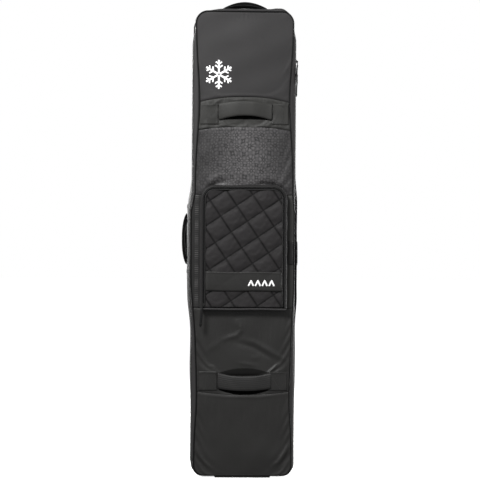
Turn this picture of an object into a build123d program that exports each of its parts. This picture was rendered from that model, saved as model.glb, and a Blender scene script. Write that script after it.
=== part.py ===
"""Wheeled snowboard bag: a tall padded case with a side-hinged lid, a zipped quilted pocket, four carrying
handles, a moulded base with two wheels, and the straps and buckles that hold the board inside.

Millimetres. The bag stands on its base: +X is the right-hand side seen from the front, +Y runs to the back
and +Z up. The origin is the point of the foot's flat sole below the middle of the bag.
"""

import os

from build123d import *

# Body: a rounded box, open inside
HALF_WIDTH = 184.0
BODY_BOTTOM = 12.0
BODY_TOP = 1676.0
FRONT = -90.0
BACK = 90.0
TOP_CORNER = 45.0
BOTTOM_CORNER = 38.0
SKIN = 2.0
GUSSET_FOAM = 4.0
SEAM_GAP = 0.3
BACK_SKIN = 3.0
GUSSET_FRONT = -62.0
HINGE_GAP_Y = -85.4
INNER_INSET = 6.4
TRAY_SIDE_TOP = BODY_BOTTOM + BOTTOM_CORNER
TOP_CORNER_START = BODY_TOP - TOP_CORNER
TRAY_BACK_TOP = 150.0
BACK_PADDING_LOW = 95.0

# Lid
LID_SKIN = 3.0
LID_BACK = FRONT + LID_SKIN
LID_RIM_BACK = -82.0
LID_FOAM_BACK = -82.0
LID_LINING_BACK = -81.0
LID_EDGE_LEFT = -HALF_WIDTH + 2.0

# Seams across the lid, by height
PATCH_LEVELS = (758.0, 845.0)
SEAM_BOTTOM = 307.0
SEAM_POCKET_LOW = 606.0
SEAM_POCKET_HIGH = 1032.0
SEAM_BAND_LOW = 1249.0
SEAM_BAND_HIGH = 1357.0

# Zips
TAPE = 1.2
COIL = 1.4
COIL_WIDTH = 2.4
CHAIN_GAP = 0.8
MAIN_ZIP_Y = -72.4

# Front pocket
POCKET_HALF = 154.0
POCKET_LOW = 606.0
POCKET_HIGH = 1045.0
POCKET_CORNER = 50.0
POCKET_FRONT = -113.0
POCKET_OUTER_TAPE = (2.0, 11.0)
POCKET_INNER_TAPE = (11.8, 16.0)
FLAP_LOW = 611.0
FLAP_FRONT = -119.0
FLAP_BACK = -112.6
FLAP_ZIP_LOW = 632.0
FLAP_BAND = (668.0, 735.0)
POCKET_ZIP_X = -(POCKET_HALF - (POCKET_OUTER_TAPE[1] + POCKET_INNER_TAPE[0]) / 2)

# Zip sliders and their pulls
SLIDER_PLATE = 1.7
SLIDER_CLEARANCE = 0.5
SLIDER_LENGTH = 13.0
SLIDER_REACH = 4.6
PIN_R = 0.8
PIN_OUT = 2.6
PULL_EYE_R = 1.9
PULL_PLATE = 1.6
MAIN_SLIDERS = {"main_upper": (1490.0, 10.0), "main_lower": (1440.0, 0.0)}
POCKET_SLIDER_Z = 618.0
MAIN_GRIP = 44.0
POCKET_GRIP = 66.0

# Wheels, at the two back corners of the base
WHEEL_X = 120.0
WHEEL_Y = 66.0
WHEEL_R = 33.0
WHEEL_HALF = 12.0
HUB_R = 25.0
HUB_HALF = 11.0
BEARING_R = 11.0
BEARING_WIDTH = 7.0
AXLE_R = 4.0
WELL_HALF = 15.0
WELL_WALL = 3.0
WELL_TOP = 77.0
WELL_FRONT = 27.0
WELL_FLANGE = 27.0

# Skid rails behind
RAIL_LOW = 172.0
RAIL_HIGH = 800.0
RAIL_WIDTH = 24.0
RAIL_HEIGHT = 9.5

# Handles
FRONT_HANDLES = {
    "upper_handle": (3.0, (1279.0, 1334.0), (1297.0, 1345.0)),
    "lower_handle": (0.0, (321.0, 376.0), (310.0, 362.0)),
}
FRONT_HANDLE_HALF = 95.0
FRONT_TAB = 44.0
FRONT_STRAP_OUT = 11.0
STRAP = 3.0
TOP_HANDLE_HALF = 82.0
TOP_HANDLE_Y = 10.0
TOP_HANDLE_RISE = 16.0
SIDE_HANDLE_LOW = 757.0
SIDE_HANDLE_HIGH = 949.0
SIDE_HANDLE_RISE = 22.5
HANDLE_FOOT = 5.0
HANDLE_WIDTH = 28.0

# Inside straps and buckles
BOARD_STRAPS = {"upper": 1150.0, "lower": 480.0}
BOARD_WEBBING = (25.0, 1.6)
BUCKLE_HALF = 17.0
BUCKLE_SPLIT = 8.4


def front_plane(y):
    """The XZ plane at depth y. Its normal points to the front, so an extrusion grows towards -Y."""
    return Plane.XZ.offset(-y)


def panel(y, left, right, low, high, top_radius=0.0, bottom_radius=0.0):
    """A flat outline at depth y, with its own radius for the two top and the two bottom corners."""
    with BuildSketch(front_plane(y)) as outline:
        with Locations(((left + right) / 2, (low + high) / 2)):
            Rectangle(right - left, high - low)
        if top_radius:
            fillet(outline.vertices().sort_by(Axis.Y)[-2:], top_radius)
        if bottom_radius:
            fillet(outline.vertices().sort_by(Axis.Y)[:2], bottom_radius)
    return outline.sketch


def body_outline(y, inset=0.0):
    """The body's front outline, moved inwards by inset."""
    half = HALF_WIDTH - inset
    return panel(
        y, -half, half, BODY_BOTTOM + inset, BODY_TOP - inset, TOP_CORNER - inset, BOTTOM_CORNER - inset
    )


def pocket_outline(y, inset=0.0, low=POCKET_LOW):
    """The pocket's front outline, moved inwards by inset at its top and sides. Its bottom stays at low."""
    half = POCKET_HALF - inset
    return panel(y, -half, half, low, POCKET_HIGH - inset, POCKET_CORNER - inset)


def band(outer, inner):
    """The ring between two outlines on one plane."""
    return outer - inner


def window(y, left, right, low, high):
    """A box-shaped region that reaches from depth y to the front, used to keep one stretch of a ring."""
    with BuildPart() as region:
        extrude(to_extrude=panel(y, left, right, low, high), amount=400)
    return region.part


def block(x, y, z, mode=Mode.ADD):
    """A box between two values along each axis."""
    centre = ((x[0] + x[1]) / 2, (y[0] + y[1]) / 2, (z[0] + z[1]) / 2)
    with Locations(centre):
        Box(abs(x[1] - x[0]), abs(y[1] - y[0]), abs(z[1] - z[0]), mode=mode)


def save(builder, name):
    """Labels a finished piece and writes it under its node's name."""
    builder.part.label = name
    export_step(builder.part, f"parts/{name}.step")


# ---------------------------------------------------------------- body shell


def make_back():
    """The back wall: outer cover, foam, stiffening board and lining, in that order from the back."""
    half = HALF_WIDTH
    with BuildPart() as back_panel:
        extrude(
            to_extrude=panel(BACK, -half, half, TRAY_BACK_TOP, BODY_TOP, TOP_CORNER), amount=BACK_SKIN
        )
    save(back_panel, "back_panel")
    inner_half = half - INNER_INSET
    top = BODY_TOP - INNER_INSET
    layers = [("back_foam", 87.0, 82.0), ("back_stiffener", 82.0, 80.0), ("back_lining", 80.0, 79.0)]
    for name, deep, shallow in layers:
        with BuildPart() as layer:
            extrude(
                to_extrude=panel(
                    deep, -inner_half, inner_half, BACK_PADDING_LOW, top, TOP_CORNER - INNER_INSET
                ),
                amount=deep - shallow,
            )
        save(layer, name)


def make_gussets():
    """The side and top walls' outer covers, and the foam layer inside the three of them."""
    deep = BACK - BACK_SKIN
    depth = deep - GUSSET_FRONT
    for name, side, shallow in (("left_gusset", -1, HINGE_GAP_Y), ("right_gusset", 1, GUSSET_FRONT)):
        with BuildPart() as wall:
            x = (side * HALF_WIDTH, side * (HALF_WIDTH - SKIN))
            block(x, (shallow, deep), (TRAY_SIDE_TOP, TOP_CORNER_START))
        save(wall, name)
    with BuildPart() as top_gusset:
        extrude(to_extrude=band(body_outline(deep), body_outline(deep, SKIN)), amount=depth)
        split(bisect_by=Plane.XY.offset(TOP_CORNER_START), keep=Keep.TOP)
    save(top_gusset, "top_gusset")
    foam_inset = SKIN + GUSSET_FOAM
    with BuildPart() as foam:
        extrude(to_extrude=band(body_outline(deep, SKIN), body_outline(deep, foam_inset)), amount=depth)
        split(bisect_by=Plane.XY.offset(TOP_CORNER_START), keep=Keep.TOP)
        for side, shallow in ((-1, HINGE_GAP_Y), (1, GUSSET_FRONT)):
            x = (side * (HALF_WIDTH - SKIN), side * (HALF_WIDTH - foam_inset))
            block(x, (shallow, deep), (TRAY_SIDE_TOP, TOP_CORNER_START - SEAM_GAP))
    save(foam, "gusset_foam")


def make_shell_patches():
    """Stitched reinforcements: the sewn ends of the top and side handles, and the right gusset's patch."""
    with BuildPart() as patches:
        for side in (-1, 1):
            x = (side * (TOP_HANDLE_HALF + 1), side * (TOP_HANDLE_HALF + 26))
            block(x, (TOP_HANDLE_Y - 17, TOP_HANDLE_Y + 17), (BODY_TOP, BODY_TOP + 2.5))
        fillet(patches.edges().filter_by(Axis.Z), 3)
        for low in (SIDE_HANDLE_LOW - 26, SIDE_HANDLE_HIGH + 1):
            block((-HALF_WIDTH - 2.5, -HALF_WIDTH), (-17, 17), (low, low + 25))
        block((HALF_WIDTH, HALF_WIDTH + 1.5), (-52, 30), PATCH_LEVELS)
        fillet(patches.edges().filter_by(Axis.X).filter_by_position(Axis.Z, 0, BODY_TOP - 1), 3)
    save(patches, "shell_patches")


def make_main_zip():
    """The main zip's halves, a tape and its coil each: along the bottom, up the right side, over the top."""
    left_run = panel(0, -HALF_WIDTH - 10, -HALF_WIDTH + TOP_CORNER, TRAY_SIDE_TOP, TOP_CORNER_START)
    half_gap = CHAIN_GAP / 2
    shell_edge = MAIN_ZIP_Y + half_gap
    lid_edge = MAIN_ZIP_Y - half_gap
    halves = (
        ("main_zip_shell_half", (GUSSET_FRONT, shell_edge), (shell_edge + COIL_WIDTH, shell_edge)),
        ("main_zip_lid_half", (lid_edge, LID_RIM_BACK), (lid_edge, lid_edge - COIL_WIDTH)),
    )
    for name, tape, coil in halves:
        with BuildPart() as half:
            inside = body_outline(tape[0], TAPE)
            extrude(to_extrude=band(body_outline(tape[0]), inside), amount=tape[0] - tape[1])
            bead = band(body_outline(coil[0], -COIL), body_outline(coil[0]))
            extrude(to_extrude=bead, amount=coil[0] - coil[1])
            extrude(to_extrude=left_run, amount=200, both=True, mode=Mode.SUBTRACT)
        save(half, name)


# ---------------------------------------------------------------- base and wheels


def make_base():
    """The moulded tray that closes the bottom, with its rear kick wall and openings for the wheel wells."""
    deep = BACK
    wall = 3.0
    with BuildPart() as tray:
        extrude(
            to_extrude=band(body_outline(deep - wall), body_outline(deep - wall, wall)),
            amount=deep - wall - GUSSET_FRONT,
        )
        split(bisect_by=Plane.XY.offset(TRAY_SIDE_TOP), keep=Keep.BOTTOM)
        extrude(
            to_extrude=panel(
                deep, -HALF_WIDTH, HALF_WIDTH, BODY_BOTTOM, TRAY_BACK_TOP, bottom_radius=BOTTOM_CORNER
            ),
            amount=wall,
        )
        for side in (-1, 1):
            x = (side * WHEEL_X - WELL_HALF - WELL_WALL, side * WHEEL_X + WELL_HALF + WELL_WALL)
            block(x, (WELL_FRONT, BACK + 1), (BODY_BOTTOM - 1, WELL_TOP), mode=Mode.SUBTRACT)
        rib_top = TRAY_BACK_TOP - 12
        for level in (102.0, 118.0, rib_top):
            block((-150, 150), (BACK, BACK + 2), (level - 2.5, level + 2.5))
        fillet(tray.edges().group_by(Axis.Y)[-1], 0.8)
    save(tray, "base_tray")

    with BuildPart() as foot:
        block((-102, 102), (-57, 18), (0, BODY_BOTTOM))
        block((-102, 102), (-82, -57), (0, 8.5))
        chamfer(foot.edges().filter_by(Axis.Y).sort_by(Axis.Z)[:2], 7.5, 5.0)
        fillet(foot.edges().filter_by(Axis.Z).sort_by(Axis.Y)[:2], 6)
    save(foot, "standing_foot")

    with BuildPart() as base_pad:
        block((-144, 144), (-58, 24), (15, 23))
        fillet(base_pad.edges().filter_by(Axis.Y).sort_by(Axis.Z)[:2], 7)
    save(base_pad, "base_pad")


def make_wheel_wells():
    """The two moulded wheel housings: cups open below and behind, with flanges on the tray's rear wall."""
    outer = WELL_HALF + WELL_WALL - 0.2
    inside = (WELL_FRONT + WELL_WALL, BACK + 5)
    with BuildPart() as wells:
        for x in (-WHEEL_X, WHEEL_X):
            block((x - outer, x + outer), (WELL_FRONT + 0.2, BACK), (BODY_BOTTOM, WELL_TOP - 0.2))
        fillet(wells.edges().filter_by(Axis.X).group_by(Axis.Y)[0].group_by(Axis.Z)[-1], 14)
        for x in (-WHEEL_X, WHEEL_X):
            flange = (x - WELL_FLANGE, x + WELL_FLANGE)
            block(flange, (BACK, BACK + 2.5), (BODY_BOTTOM + 1, WELL_TOP + 9))
        corners = wells.edges().filter_by(Axis.Y).group_by(Axis.Z)
        fillet(corners[-1], 6)
        for x in (-WHEEL_X, WHEEL_X):
            opening = (x - WELL_HALF, x + WELL_HALF)
            block(opening, inside, (BODY_BOTTOM - 1, WELL_TOP - WELL_WALL), mode=Mode.SUBTRACT)
            with BuildSketch(axle_plane(x)):
                Circle(AXLE_R + 0.1)
            extrude(amount=outer + 1, both=True, mode=Mode.SUBTRACT)
    save(wells, "wheel_wells")


def axle_plane(x):
    """The plane across a wheel's axle at x."""
    return Plane(origin=(x, WHEEL_Y, WHEEL_R), x_dir=(0, 1, 0), z_dir=(1, 0, 0))


def make_wheel(name, x):
    """One wheel: a moulded hub, a soft tyre and two ball bearings."""
    radial = Plane(origin=(x, WHEEL_Y, WHEEL_R), x_dir=(1, 0, 0), z_dir=(0, 0, 1))
    spin = Axis((x, WHEEL_Y, WHEEL_R), (1, 0, 0))
    with BuildPart() as hub:
        with BuildSketch(axle_plane(x)):
            Circle(HUB_R)
        extrude(amount=HUB_HALF, both=True)
        for side in (-1, 1):
            with BuildSketch(axle_plane(x + side * 3)):
                Circle(HUB_R - 4)
                Circle(BEARING_R + 3, mode=Mode.SUBTRACT)
            extrude(amount=side * HUB_HALF, mode=Mode.SUBTRACT)
        with BuildSketch(axle_plane(x)):
            Circle(BEARING_R - 2)
            with PolarLocations(17.5, 5):
                Circle(2.6)
        extrude(amount=HUB_HALF, both=True, mode=Mode.SUBTRACT)
        for side in (-1, 1):
            with BuildSketch(axle_plane(x + side * (HUB_HALF - BEARING_WIDTH))):
                Circle(BEARING_R)
            extrude(amount=side * BEARING_WIDTH, mode=Mode.SUBTRACT)
    save(hub, f"{name}_wheel_hub")

    with BuildPart() as tyre:
        with BuildSketch(radial) as section:
            with Locations((0, (WHEEL_R + HUB_R) / 2)):
                Rectangle(2 * WHEEL_HALF, WHEEL_R - HUB_R)
            fillet(section.vertices().sort_by(Axis.Y)[-2:], 5)
        revolve(axis=spin)
    save(tyre, f"{name}_wheel_tyre")

    with BuildPart() as bearings:
        for side in (-1, 1):
            with BuildSketch(axle_plane(x + side * (HUB_HALF - BEARING_WIDTH))):
                Circle(BEARING_R)
                Circle(AXLE_R + 0.05, mode=Mode.SUBTRACT)
            extrude(amount=side * BEARING_WIDTH)
            with BuildSketch(axle_plane(x + side * (HUB_HALF - 0.5))):
                Circle(9.2)
                Circle(5.9, mode=Mode.SUBTRACT)
            extrude(amount=side, mode=Mode.SUBTRACT)
    save(bearings, f"{name}_wheel_bearings")


def make_axles():
    """Both wheels' axle bolts, their nuts, and the spacers that centre each wheel in its well."""
    wall_out = WELL_HALF + WELL_WALL - 0.2
    with BuildPart() as bolts:
        for x in (-WHEEL_X, WHEEL_X):
            with BuildSketch(axle_plane(x - wall_out)):
                Circle(AXLE_R)
            extrude(amount=2 * wall_out + 7)
            with BuildSketch(axle_plane(x - wall_out)):
                Circle(7.2)
            extrude(amount=-4.5)
            with BuildSketch(axle_plane(x - wall_out - 4.5)):
                RegularPolygon(3.0, 6)
            extrude(amount=2.5, mode=Mode.SUBTRACT)
    save(bolts, "axle_bolts")
    with BuildPart() as nuts:
        for x in (-WHEEL_X, WHEEL_X):
            with BuildSketch(axle_plane(x + wall_out)):
                RegularPolygon(7.5, 6)
                Circle(AXLE_R, mode=Mode.SUBTRACT)
            extrude(amount=6.5)
    save(nuts, "axle_nuts")
    with BuildPart() as spacers:
        for x in (-WHEEL_X, WHEEL_X):
            for side in (-1, 1):
                with BuildSketch(axle_plane(x + side * (HUB_HALF + 0.15))):
                    Circle(5.6)
                    Circle(AXLE_R, mode=Mode.SUBTRACT)
                extrude(amount=side * (WELL_HALF - HUB_HALF - 0.15))
    save(spacers, "axle_spacers")


def rail_screw_places():
    """The six places, as (x, z), where a screw holds a skid rail."""
    levels = (RAIL_LOW + 60, (RAIL_LOW + RAIL_HIGH) / 2, RAIL_HIGH - 60)
    return [(x, z) for x in (-WHEEL_X, WHEEL_X) for z in levels]


def make_skid_rails():
    """The moulded rails that the bag slides on when it lies on its back."""
    with BuildPart() as rails:
        with BuildSketch(front_plane(BACK)):
            with Locations(*[(x, (RAIL_LOW + RAIL_HIGH) / 2) for x in (-WHEEL_X, WHEEL_X)]):
                SlotOverall(RAIL_HIGH - RAIL_LOW, RAIL_WIDTH, rotation=90)
        extrude(amount=-RAIL_HEIGHT)
        chamfer(rails.edges().group_by(Axis.Y)[-1], 4.5, 5.5)
        with BuildSketch(front_plane(BACK + RAIL_HEIGHT)):
            with Locations(*rail_screw_places()):
                Circle(3.6)
        extrude(amount=3.2, mode=Mode.SUBTRACT)
    save(rails, "skid_rails")


def make_case_screws():
    """The screws behind: six sunk in the rails, and four around each wheel well's flange."""
    rail_floor = BACK + RAIL_HEIGHT - 3.2
    flange_holes = [
        (side * WHEEL_X + dx, z) for side in (-1, 1) for dx in (-22.5, 22.5) for z in (22.0, WELL_TOP + 2)
    ]
    with BuildPart() as screws:
        for floor, radius, places in (
            (rail_floor, 3.4, rail_screw_places()),
            (BACK + 2.5, 3.2, flange_holes),
        ):
            with BuildSketch(front_plane(floor)):
                with Locations(*places):
                    Circle(radius)
            extrude(amount=-2.2)
            with BuildSketch(front_plane(floor + 2.2)):
                with Locations(*places):
                    Rectangle(4.0, 0.9)
                    Rectangle(0.9, 4.0)
            extrude(amount=1.1, mode=Mode.SUBTRACT)
    save(screws, "case_screws")


# ---------------------------------------------------------------- lid


def make_lid_panels():
    """The lid's outer cover, cut into panels at its seams, with the padding and lining behind it."""
    cuts = (
        ("lid_upper_panel", SEAM_BAND_HIGH, BODY_TOP),
        ("lid_handle_band", SEAM_BAND_LOW, SEAM_BAND_HIGH),
        ("lid_embossed_panel", SEAM_POCKET_HIGH, SEAM_BAND_LOW),
        ("lid_lower_panel", SEAM_BOTTOM, SEAM_POCKET_LOW),
        ("lid_bottom_panel", BODY_BOTTOM, SEAM_BOTTOM),
    )
    for name, low, high in cuts:
        with BuildPart() as cover:
            extrude(to_extrude=body_outline(LID_BACK), amount=LID_SKIN)
            add(window(LID_BACK + 5, LID_EDGE_LEFT, HALF_WIDTH, low, high), mode=Mode.INTERSECT)
        save(cover, name)
    middle = (SEAM_POCKET_LOW, SEAM_POCKET_HIGH)
    with BuildPart() as pocket_back:
        block((-POCKET_HALF, POCKET_HALF), (FRONT, LID_BACK), middle)
    save(pocket_back, "lid_pocket_back")
    with BuildPart() as strips:
        block((LID_EDGE_LEFT, -POCKET_HALF), (FRONT, LID_BACK), middle)
        block((POCKET_HALF, HALF_WIDTH), (FRONT, LID_BACK), middle)
    save(strips, "lid_side_strips")
    for name, deep, shallow in (
        ("lid_foam", LID_FOAM_BACK, LID_BACK),
        ("lid_lining", LID_LINING_BACK, LID_FOAM_BACK),
    ):
        with BuildPart() as layer:
            extrude(to_extrude=body_outline(deep, INNER_INSET + 0.1), amount=deep - shallow)
        save(layer, name)


def make_lid_rim():
    """The lid's narrow edge between its front and the zip, in three stretches, and the piping in front."""
    wide = HALF_WIDTH + 5
    stretches = (
        (-wide, wide, TOP_CORNER_START, BODY_TOP + 5),
        (0, wide, TRAY_SIDE_TOP + SEAM_GAP, TOP_CORNER_START - SEAM_GAP),
        (-wide, wide, BODY_BOTTOM - 5, TRAY_SIDE_TOP),
    )
    with BuildPart() as rim:
        ring = band(body_outline(LID_RIM_BACK), body_outline(LID_RIM_BACK, SKIN))
        extrude(to_extrude=ring, amount=LID_RIM_BACK - LID_BACK)
        add([window(LID_RIM_BACK + 5, *stretch) for stretch in stretches], mode=Mode.INTERSECT)
    save(rim, "lid_rim")
    with BuildPart() as piping:
        extrude(to_extrude=band(body_outline(FRONT, 9.0), body_outline(FRONT, 13.0)), amount=3.5)
    save(piping, "lid_piping")


def make_front_handle(name, centre, ends, middle):
    """One wide webbing handle on the lid: a bowed strap that stands proud between its sewn ends.

    ends and middle are the strap's (low, high) heights at its two ends and at its middle.
    """
    half = FRONT_HANDLE_HALF
    with BuildPart() as strap:
        with BuildSketch(Plane.XY.offset(ends[0] - 60)):
            with BuildLine():
                Polyline(
                    (centre - half + 0.4, FRONT - 0.5),
                    (centre - half + 26, FRONT - FRONT_STRAP_OUT),
                    (centre + half - 26, FRONT - FRONT_STRAP_OUT),
                    (centre + half - 0.4, FRONT - 0.5),
                    (centre + half - 0.4, FRONT - 0.5 - STRAP),
                    (centre + half - 24, FRONT - FRONT_STRAP_OUT - STRAP),
                    (centre - half + 24, FRONT - FRONT_STRAP_OUT - STRAP),
                    (centre - half + 0.4, FRONT - 0.5 - STRAP),
                    close=True,
                )
            make_face()
        extrude(amount=180)
        with BuildSketch(front_plane(FRONT + 5)):
            with BuildLine():
                ThreePointArc((centre - half, ends[0]), (centre, middle[0]), (centre + half, ends[0]))
                Line((centre + half, ends[0]), (centre + half, ends[1]))
                ThreePointArc((centre + half, ends[1]), (centre, middle[1]), (centre - half, ends[1]))
                Line((centre - half, ends[1]), (centre - half, ends[0]))
            make_face()
        extrude(amount=60, mode=Mode.INTERSECT)
    save(strap, f"{name}_strap")


def make_lid_patches():
    """What is stitched onto the lid's front: the four ends of its two handles, and the patch at the right."""
    with BuildPart() as patches:
        for centre, ends, middle in FRONT_HANDLES.values():
            for side in (-1, 1):
                near = centre + side * FRONT_HANDLE_HALF
                block((near, near + side * FRONT_TAB), (FRONT - 2.5, FRONT), ends)
        block((POCKET_HALF + 2, HALF_WIDTH - 14), (FRONT - 1.5, FRONT), PATCH_LEVELS)
        fillet(patches.edges().filter_by(Axis.Y), 2)
    save(patches, "lid_patches")


# ---------------------------------------------------------------- front pocket


def make_pocket():
    """The pocket's wall and the half of its zip that stays on the lid."""
    with BuildPart() as wall:
        inside = panel(
            FRONT, -POCKET_HALF + 2, POCKET_HALF - 2, POCKET_LOW + 2, POCKET_HIGH - 2, POCKET_CORNER - 2
        )
        extrude(to_extrude=band(pocket_outline(FRONT), inside), amount=FRONT - POCKET_FRONT)
        lip = (POCKET_FRONT - 1, POCKET_FRONT + 1.5)
        block((-POCKET_HALF - 1, POCKET_HALF + 1), lip, (POCKET_LOW - 1, POCKET_LOW + 3), mode=Mode.SUBTRACT)
    save(wall, "pocket_wall")
    coil = (POCKET_OUTER_TAPE[1] - COIL_WIDTH, POCKET_OUTER_TAPE[1])
    make_pocket_zip("pocket_zip_outer_half", POCKET_OUTER_TAPE, coil, FLAP_LOW + 1)


def around_pocket(deep, insets, low, thick):
    """Adds a flat band that follows the pocket's sides and top between two insets, from low upwards."""
    ring = band(pocket_outline(deep, insets[0], low), pocket_outline(deep, insets[1], low - 5))
    extrude(to_extrude=ring, amount=thick)


def make_pocket_zip(name, tape, coil, low):
    """One half of the pocket's zip: a tape and its coil."""
    with BuildPart() as half:
        around_pocket(POCKET_FRONT + TAPE, tape, low, TAPE)
        around_pocket(POCKET_FRONT, coil, low, COIL)
    save(half, name)


def make_flap():
    """The pocket's quilted front, which folds down on its bottom seam, with its half of the zip."""
    tape = POCKET_INNER_TAPE
    with BuildPart() as quilt:
        extrude(to_extrude=pocket_outline(FLAP_BACK, tape[1], FLAP_LOW), amount=FLAP_BACK - FLAP_FRONT)
    save(quilt, "flap_quilted_panel")
    half = POCKET_HALF - tape[1] - 3.5
    with BuildPart() as plain:
        extrude(to_extrude=panel(FLAP_FRONT, -half, half, *FLAP_BAND), amount=1.5)
    save(plain, "flap_plain_band")
    with BuildPart() as piping:
        around_pocket(FLAP_FRONT, (tape[1], tape[1] + 3.5), FLAP_LOW + 1, 3.0)
    save(piping, "flap_piping")
    make_pocket_zip("pocket_zip_inner_half", tape, (tape[0], tape[0] + COIL_WIDTH), FLAP_ZIP_LOW)


# ---------------------------------------------------------------- zip sliders and pulls


def main_zip_seat(z):
    """The seat of a slider on the right-hand run of the main zip: x up the zip, z outwards."""
    return Plane(origin=(HALF_WIDTH, MAIN_ZIP_Y, z), x_dir=(0, 0, 1), z_dir=(1, 0, 0))


def pocket_zip_seat():
    """The seat of the slider at the foot of the pocket zip's left-hand run."""
    return Plane(origin=(POCKET_ZIP_X, POCKET_FRONT, POCKET_SLIDER_Z), x_dir=(0, 0, 1), z_dir=(0, -1, 0))


def make_slider(name, seat):
    """One zip slider: outer plate, inner wing, the blade between the coils, two lugs and a pin.

    The seat lies on the tape's outer face, between the coils.
    """
    high = COIL + SLIDER_CLEARANCE
    deep = -TAPE - SLIDER_CLEARANCE
    with BuildPart() as slider:
        with BuildSketch(seat.offset(high)) as plate:
            Trapezoid(8.6, SLIDER_LENGTH, 86, rotation=90)
            fillet(plate.vertices(), 1.5)
        extrude(amount=SLIDER_PLATE)
        with BuildSketch(seat.offset(deep)):
            Rectangle(SLIDER_LENGTH - 2, 2 * SLIDER_REACH)
        extrude(amount=-SLIDER_PLATE)
        with BuildSketch(seat.offset(deep)):
            Rectangle(6.0, 0.4)
        extrude(amount=high - deep)
        with BuildSketch(seat.offset(high + SLIDER_PLATE)):
            with Locations((0, 2.6), (0, -2.6)):
                Rectangle(5.0, 1.4)
        extrude(amount=PIN_OUT + 1.5)
        with BuildSketch(pin_plane(seat)):
            Circle(PIN_R)
        extrude(amount=3.3, both=True)
    save(slider, f"{name}_slider")


def pin_plane(seat, tilt=0.0):
    """The plane across a slider's pin, with x up the pull and z along the pin."""
    out = COIL + SLIDER_CLEARANCE + SLIDER_PLATE + PIN_OUT
    origin = seat.from_local_coords((0, 0, out))
    up = seat.x_dir.rotate(Axis((0, 0, 0), seat.y_dir), tilt)
    return Plane(origin=origin, x_dir=up, z_dir=seat.y_dir)


def make_pull(name, seat, tilt, grip_length):
    """The pull on a slider: a metal plate with an eye around the pin, and a moulded rubber grip over it."""
    across = pin_plane(seat, tilt)
    flat = Plane(origin=across.origin, x_dir=across.x_dir, z_dir=across.y_dir)
    with BuildPart() as pull:
        with BuildSketch(flat) as outline:
            with Locations((-8.5 - grip_length / 2, 0)):
                Rectangle(grip_length, 7.6)
            fillet(outline.vertices(), 2.6)
        extrude(amount=1.9, both=True)
        fillet(pull.faces().sort_by(SortBy.AREA)[-2:].edges(), 1.0)
        with BuildSketch(across):
            Circle(PULL_EYE_R)
            with Locations((-5.0, 0)):
                Rectangle(10.0, PULL_PLATE)
            Circle(PIN_R + 0.08, mode=Mode.SUBTRACT)
        extrude(amount=1.6, both=True)
    save(pull, f"{name}_pull")


# ---------------------------------------------------------------- carrying handles


def make_carry_handle(name, side_view, half, rise, grip_half):
    """A webbing arch with a padded grip around its middle.

    side_view has x along the handle and y outwards, with its origin on the body's surface. The arch
    narrows towards its sewn ends, and its centre line starts HANDLE_FOOT above the surface.
    """
    top = HANDLE_FOOT + rise
    run = 2.0 * rise
    path = ((-half, HANDLE_FOOT), (-half + run, top), (half - run, top), (half, HANDLE_FOOT))
    plan = Plane(origin=side_view.origin, x_dir=side_view.x_dir, z_dir=side_view.y_dir)
    with BuildPart() as webbing:
        with BuildSketch(side_view):
            with BuildLine():
                FilletPolyline(*path, radius=1.5 * rise)
            trace(line_width=STRAP)
        extrude(amount=HANDLE_WIDTH, both=True)
        with BuildSketch(plan):
            width = HANDLE_WIDTH / 2
            with BuildLine():
                Polyline(
                    (-half - 5, -HANDLE_FOOT), (-half + run, -width), (half - run, -width),
                    (half + 5, -HANDLE_FOOT), (half + 5, HANDLE_FOOT), (half - run, width),
                    (-half + run, width), (-half - 5, HANDLE_FOOT), close=True,
                )
            make_face()
        extrude(amount=100, mode=Mode.INTERSECT)
    save(webbing, f"{name}_webbing")
    with BuildPart() as grip:
        with BuildSketch(Plane(origin=side_view.from_local_coords((-grip_half, top)), x_dir=side_view.z_dir,
                               z_dir=side_view.x_dir)):
            RectangleRounded(HANDLE_WIDTH + 5, STRAP + 6, 4)
            Rectangle(HANDLE_WIDTH, STRAP, mode=Mode.SUBTRACT)
        extrude(amount=2 * grip_half)
    save(grip, f"{name}_grip")


# ---------------------------------------------------------------- board straps


def webbing_loop(side, end, bar, y, z):
    """Adds one half strap at height z: a run from end to the buckle, folded round the buckle's bar.

    side is -1 for the left half and 1 for the right, bar the distance of the bar's slot from the middle
    and y the depth of the run's back face.
    """
    width, thick = BOARD_WEBBING
    levels = (z - width / 2, z + width / 2)
    fold = bar + 11.0
    front = y - 7.6
    block((side * end, side * bar), (y - thick, y), levels)
    block((side * bar, side * (bar + thick)), (front, y), levels)
    block((side * bar, side * fold), (front, front + thick), levels)
    block((side * fold, side * (fold + thick)), (front, y), levels)


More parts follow.
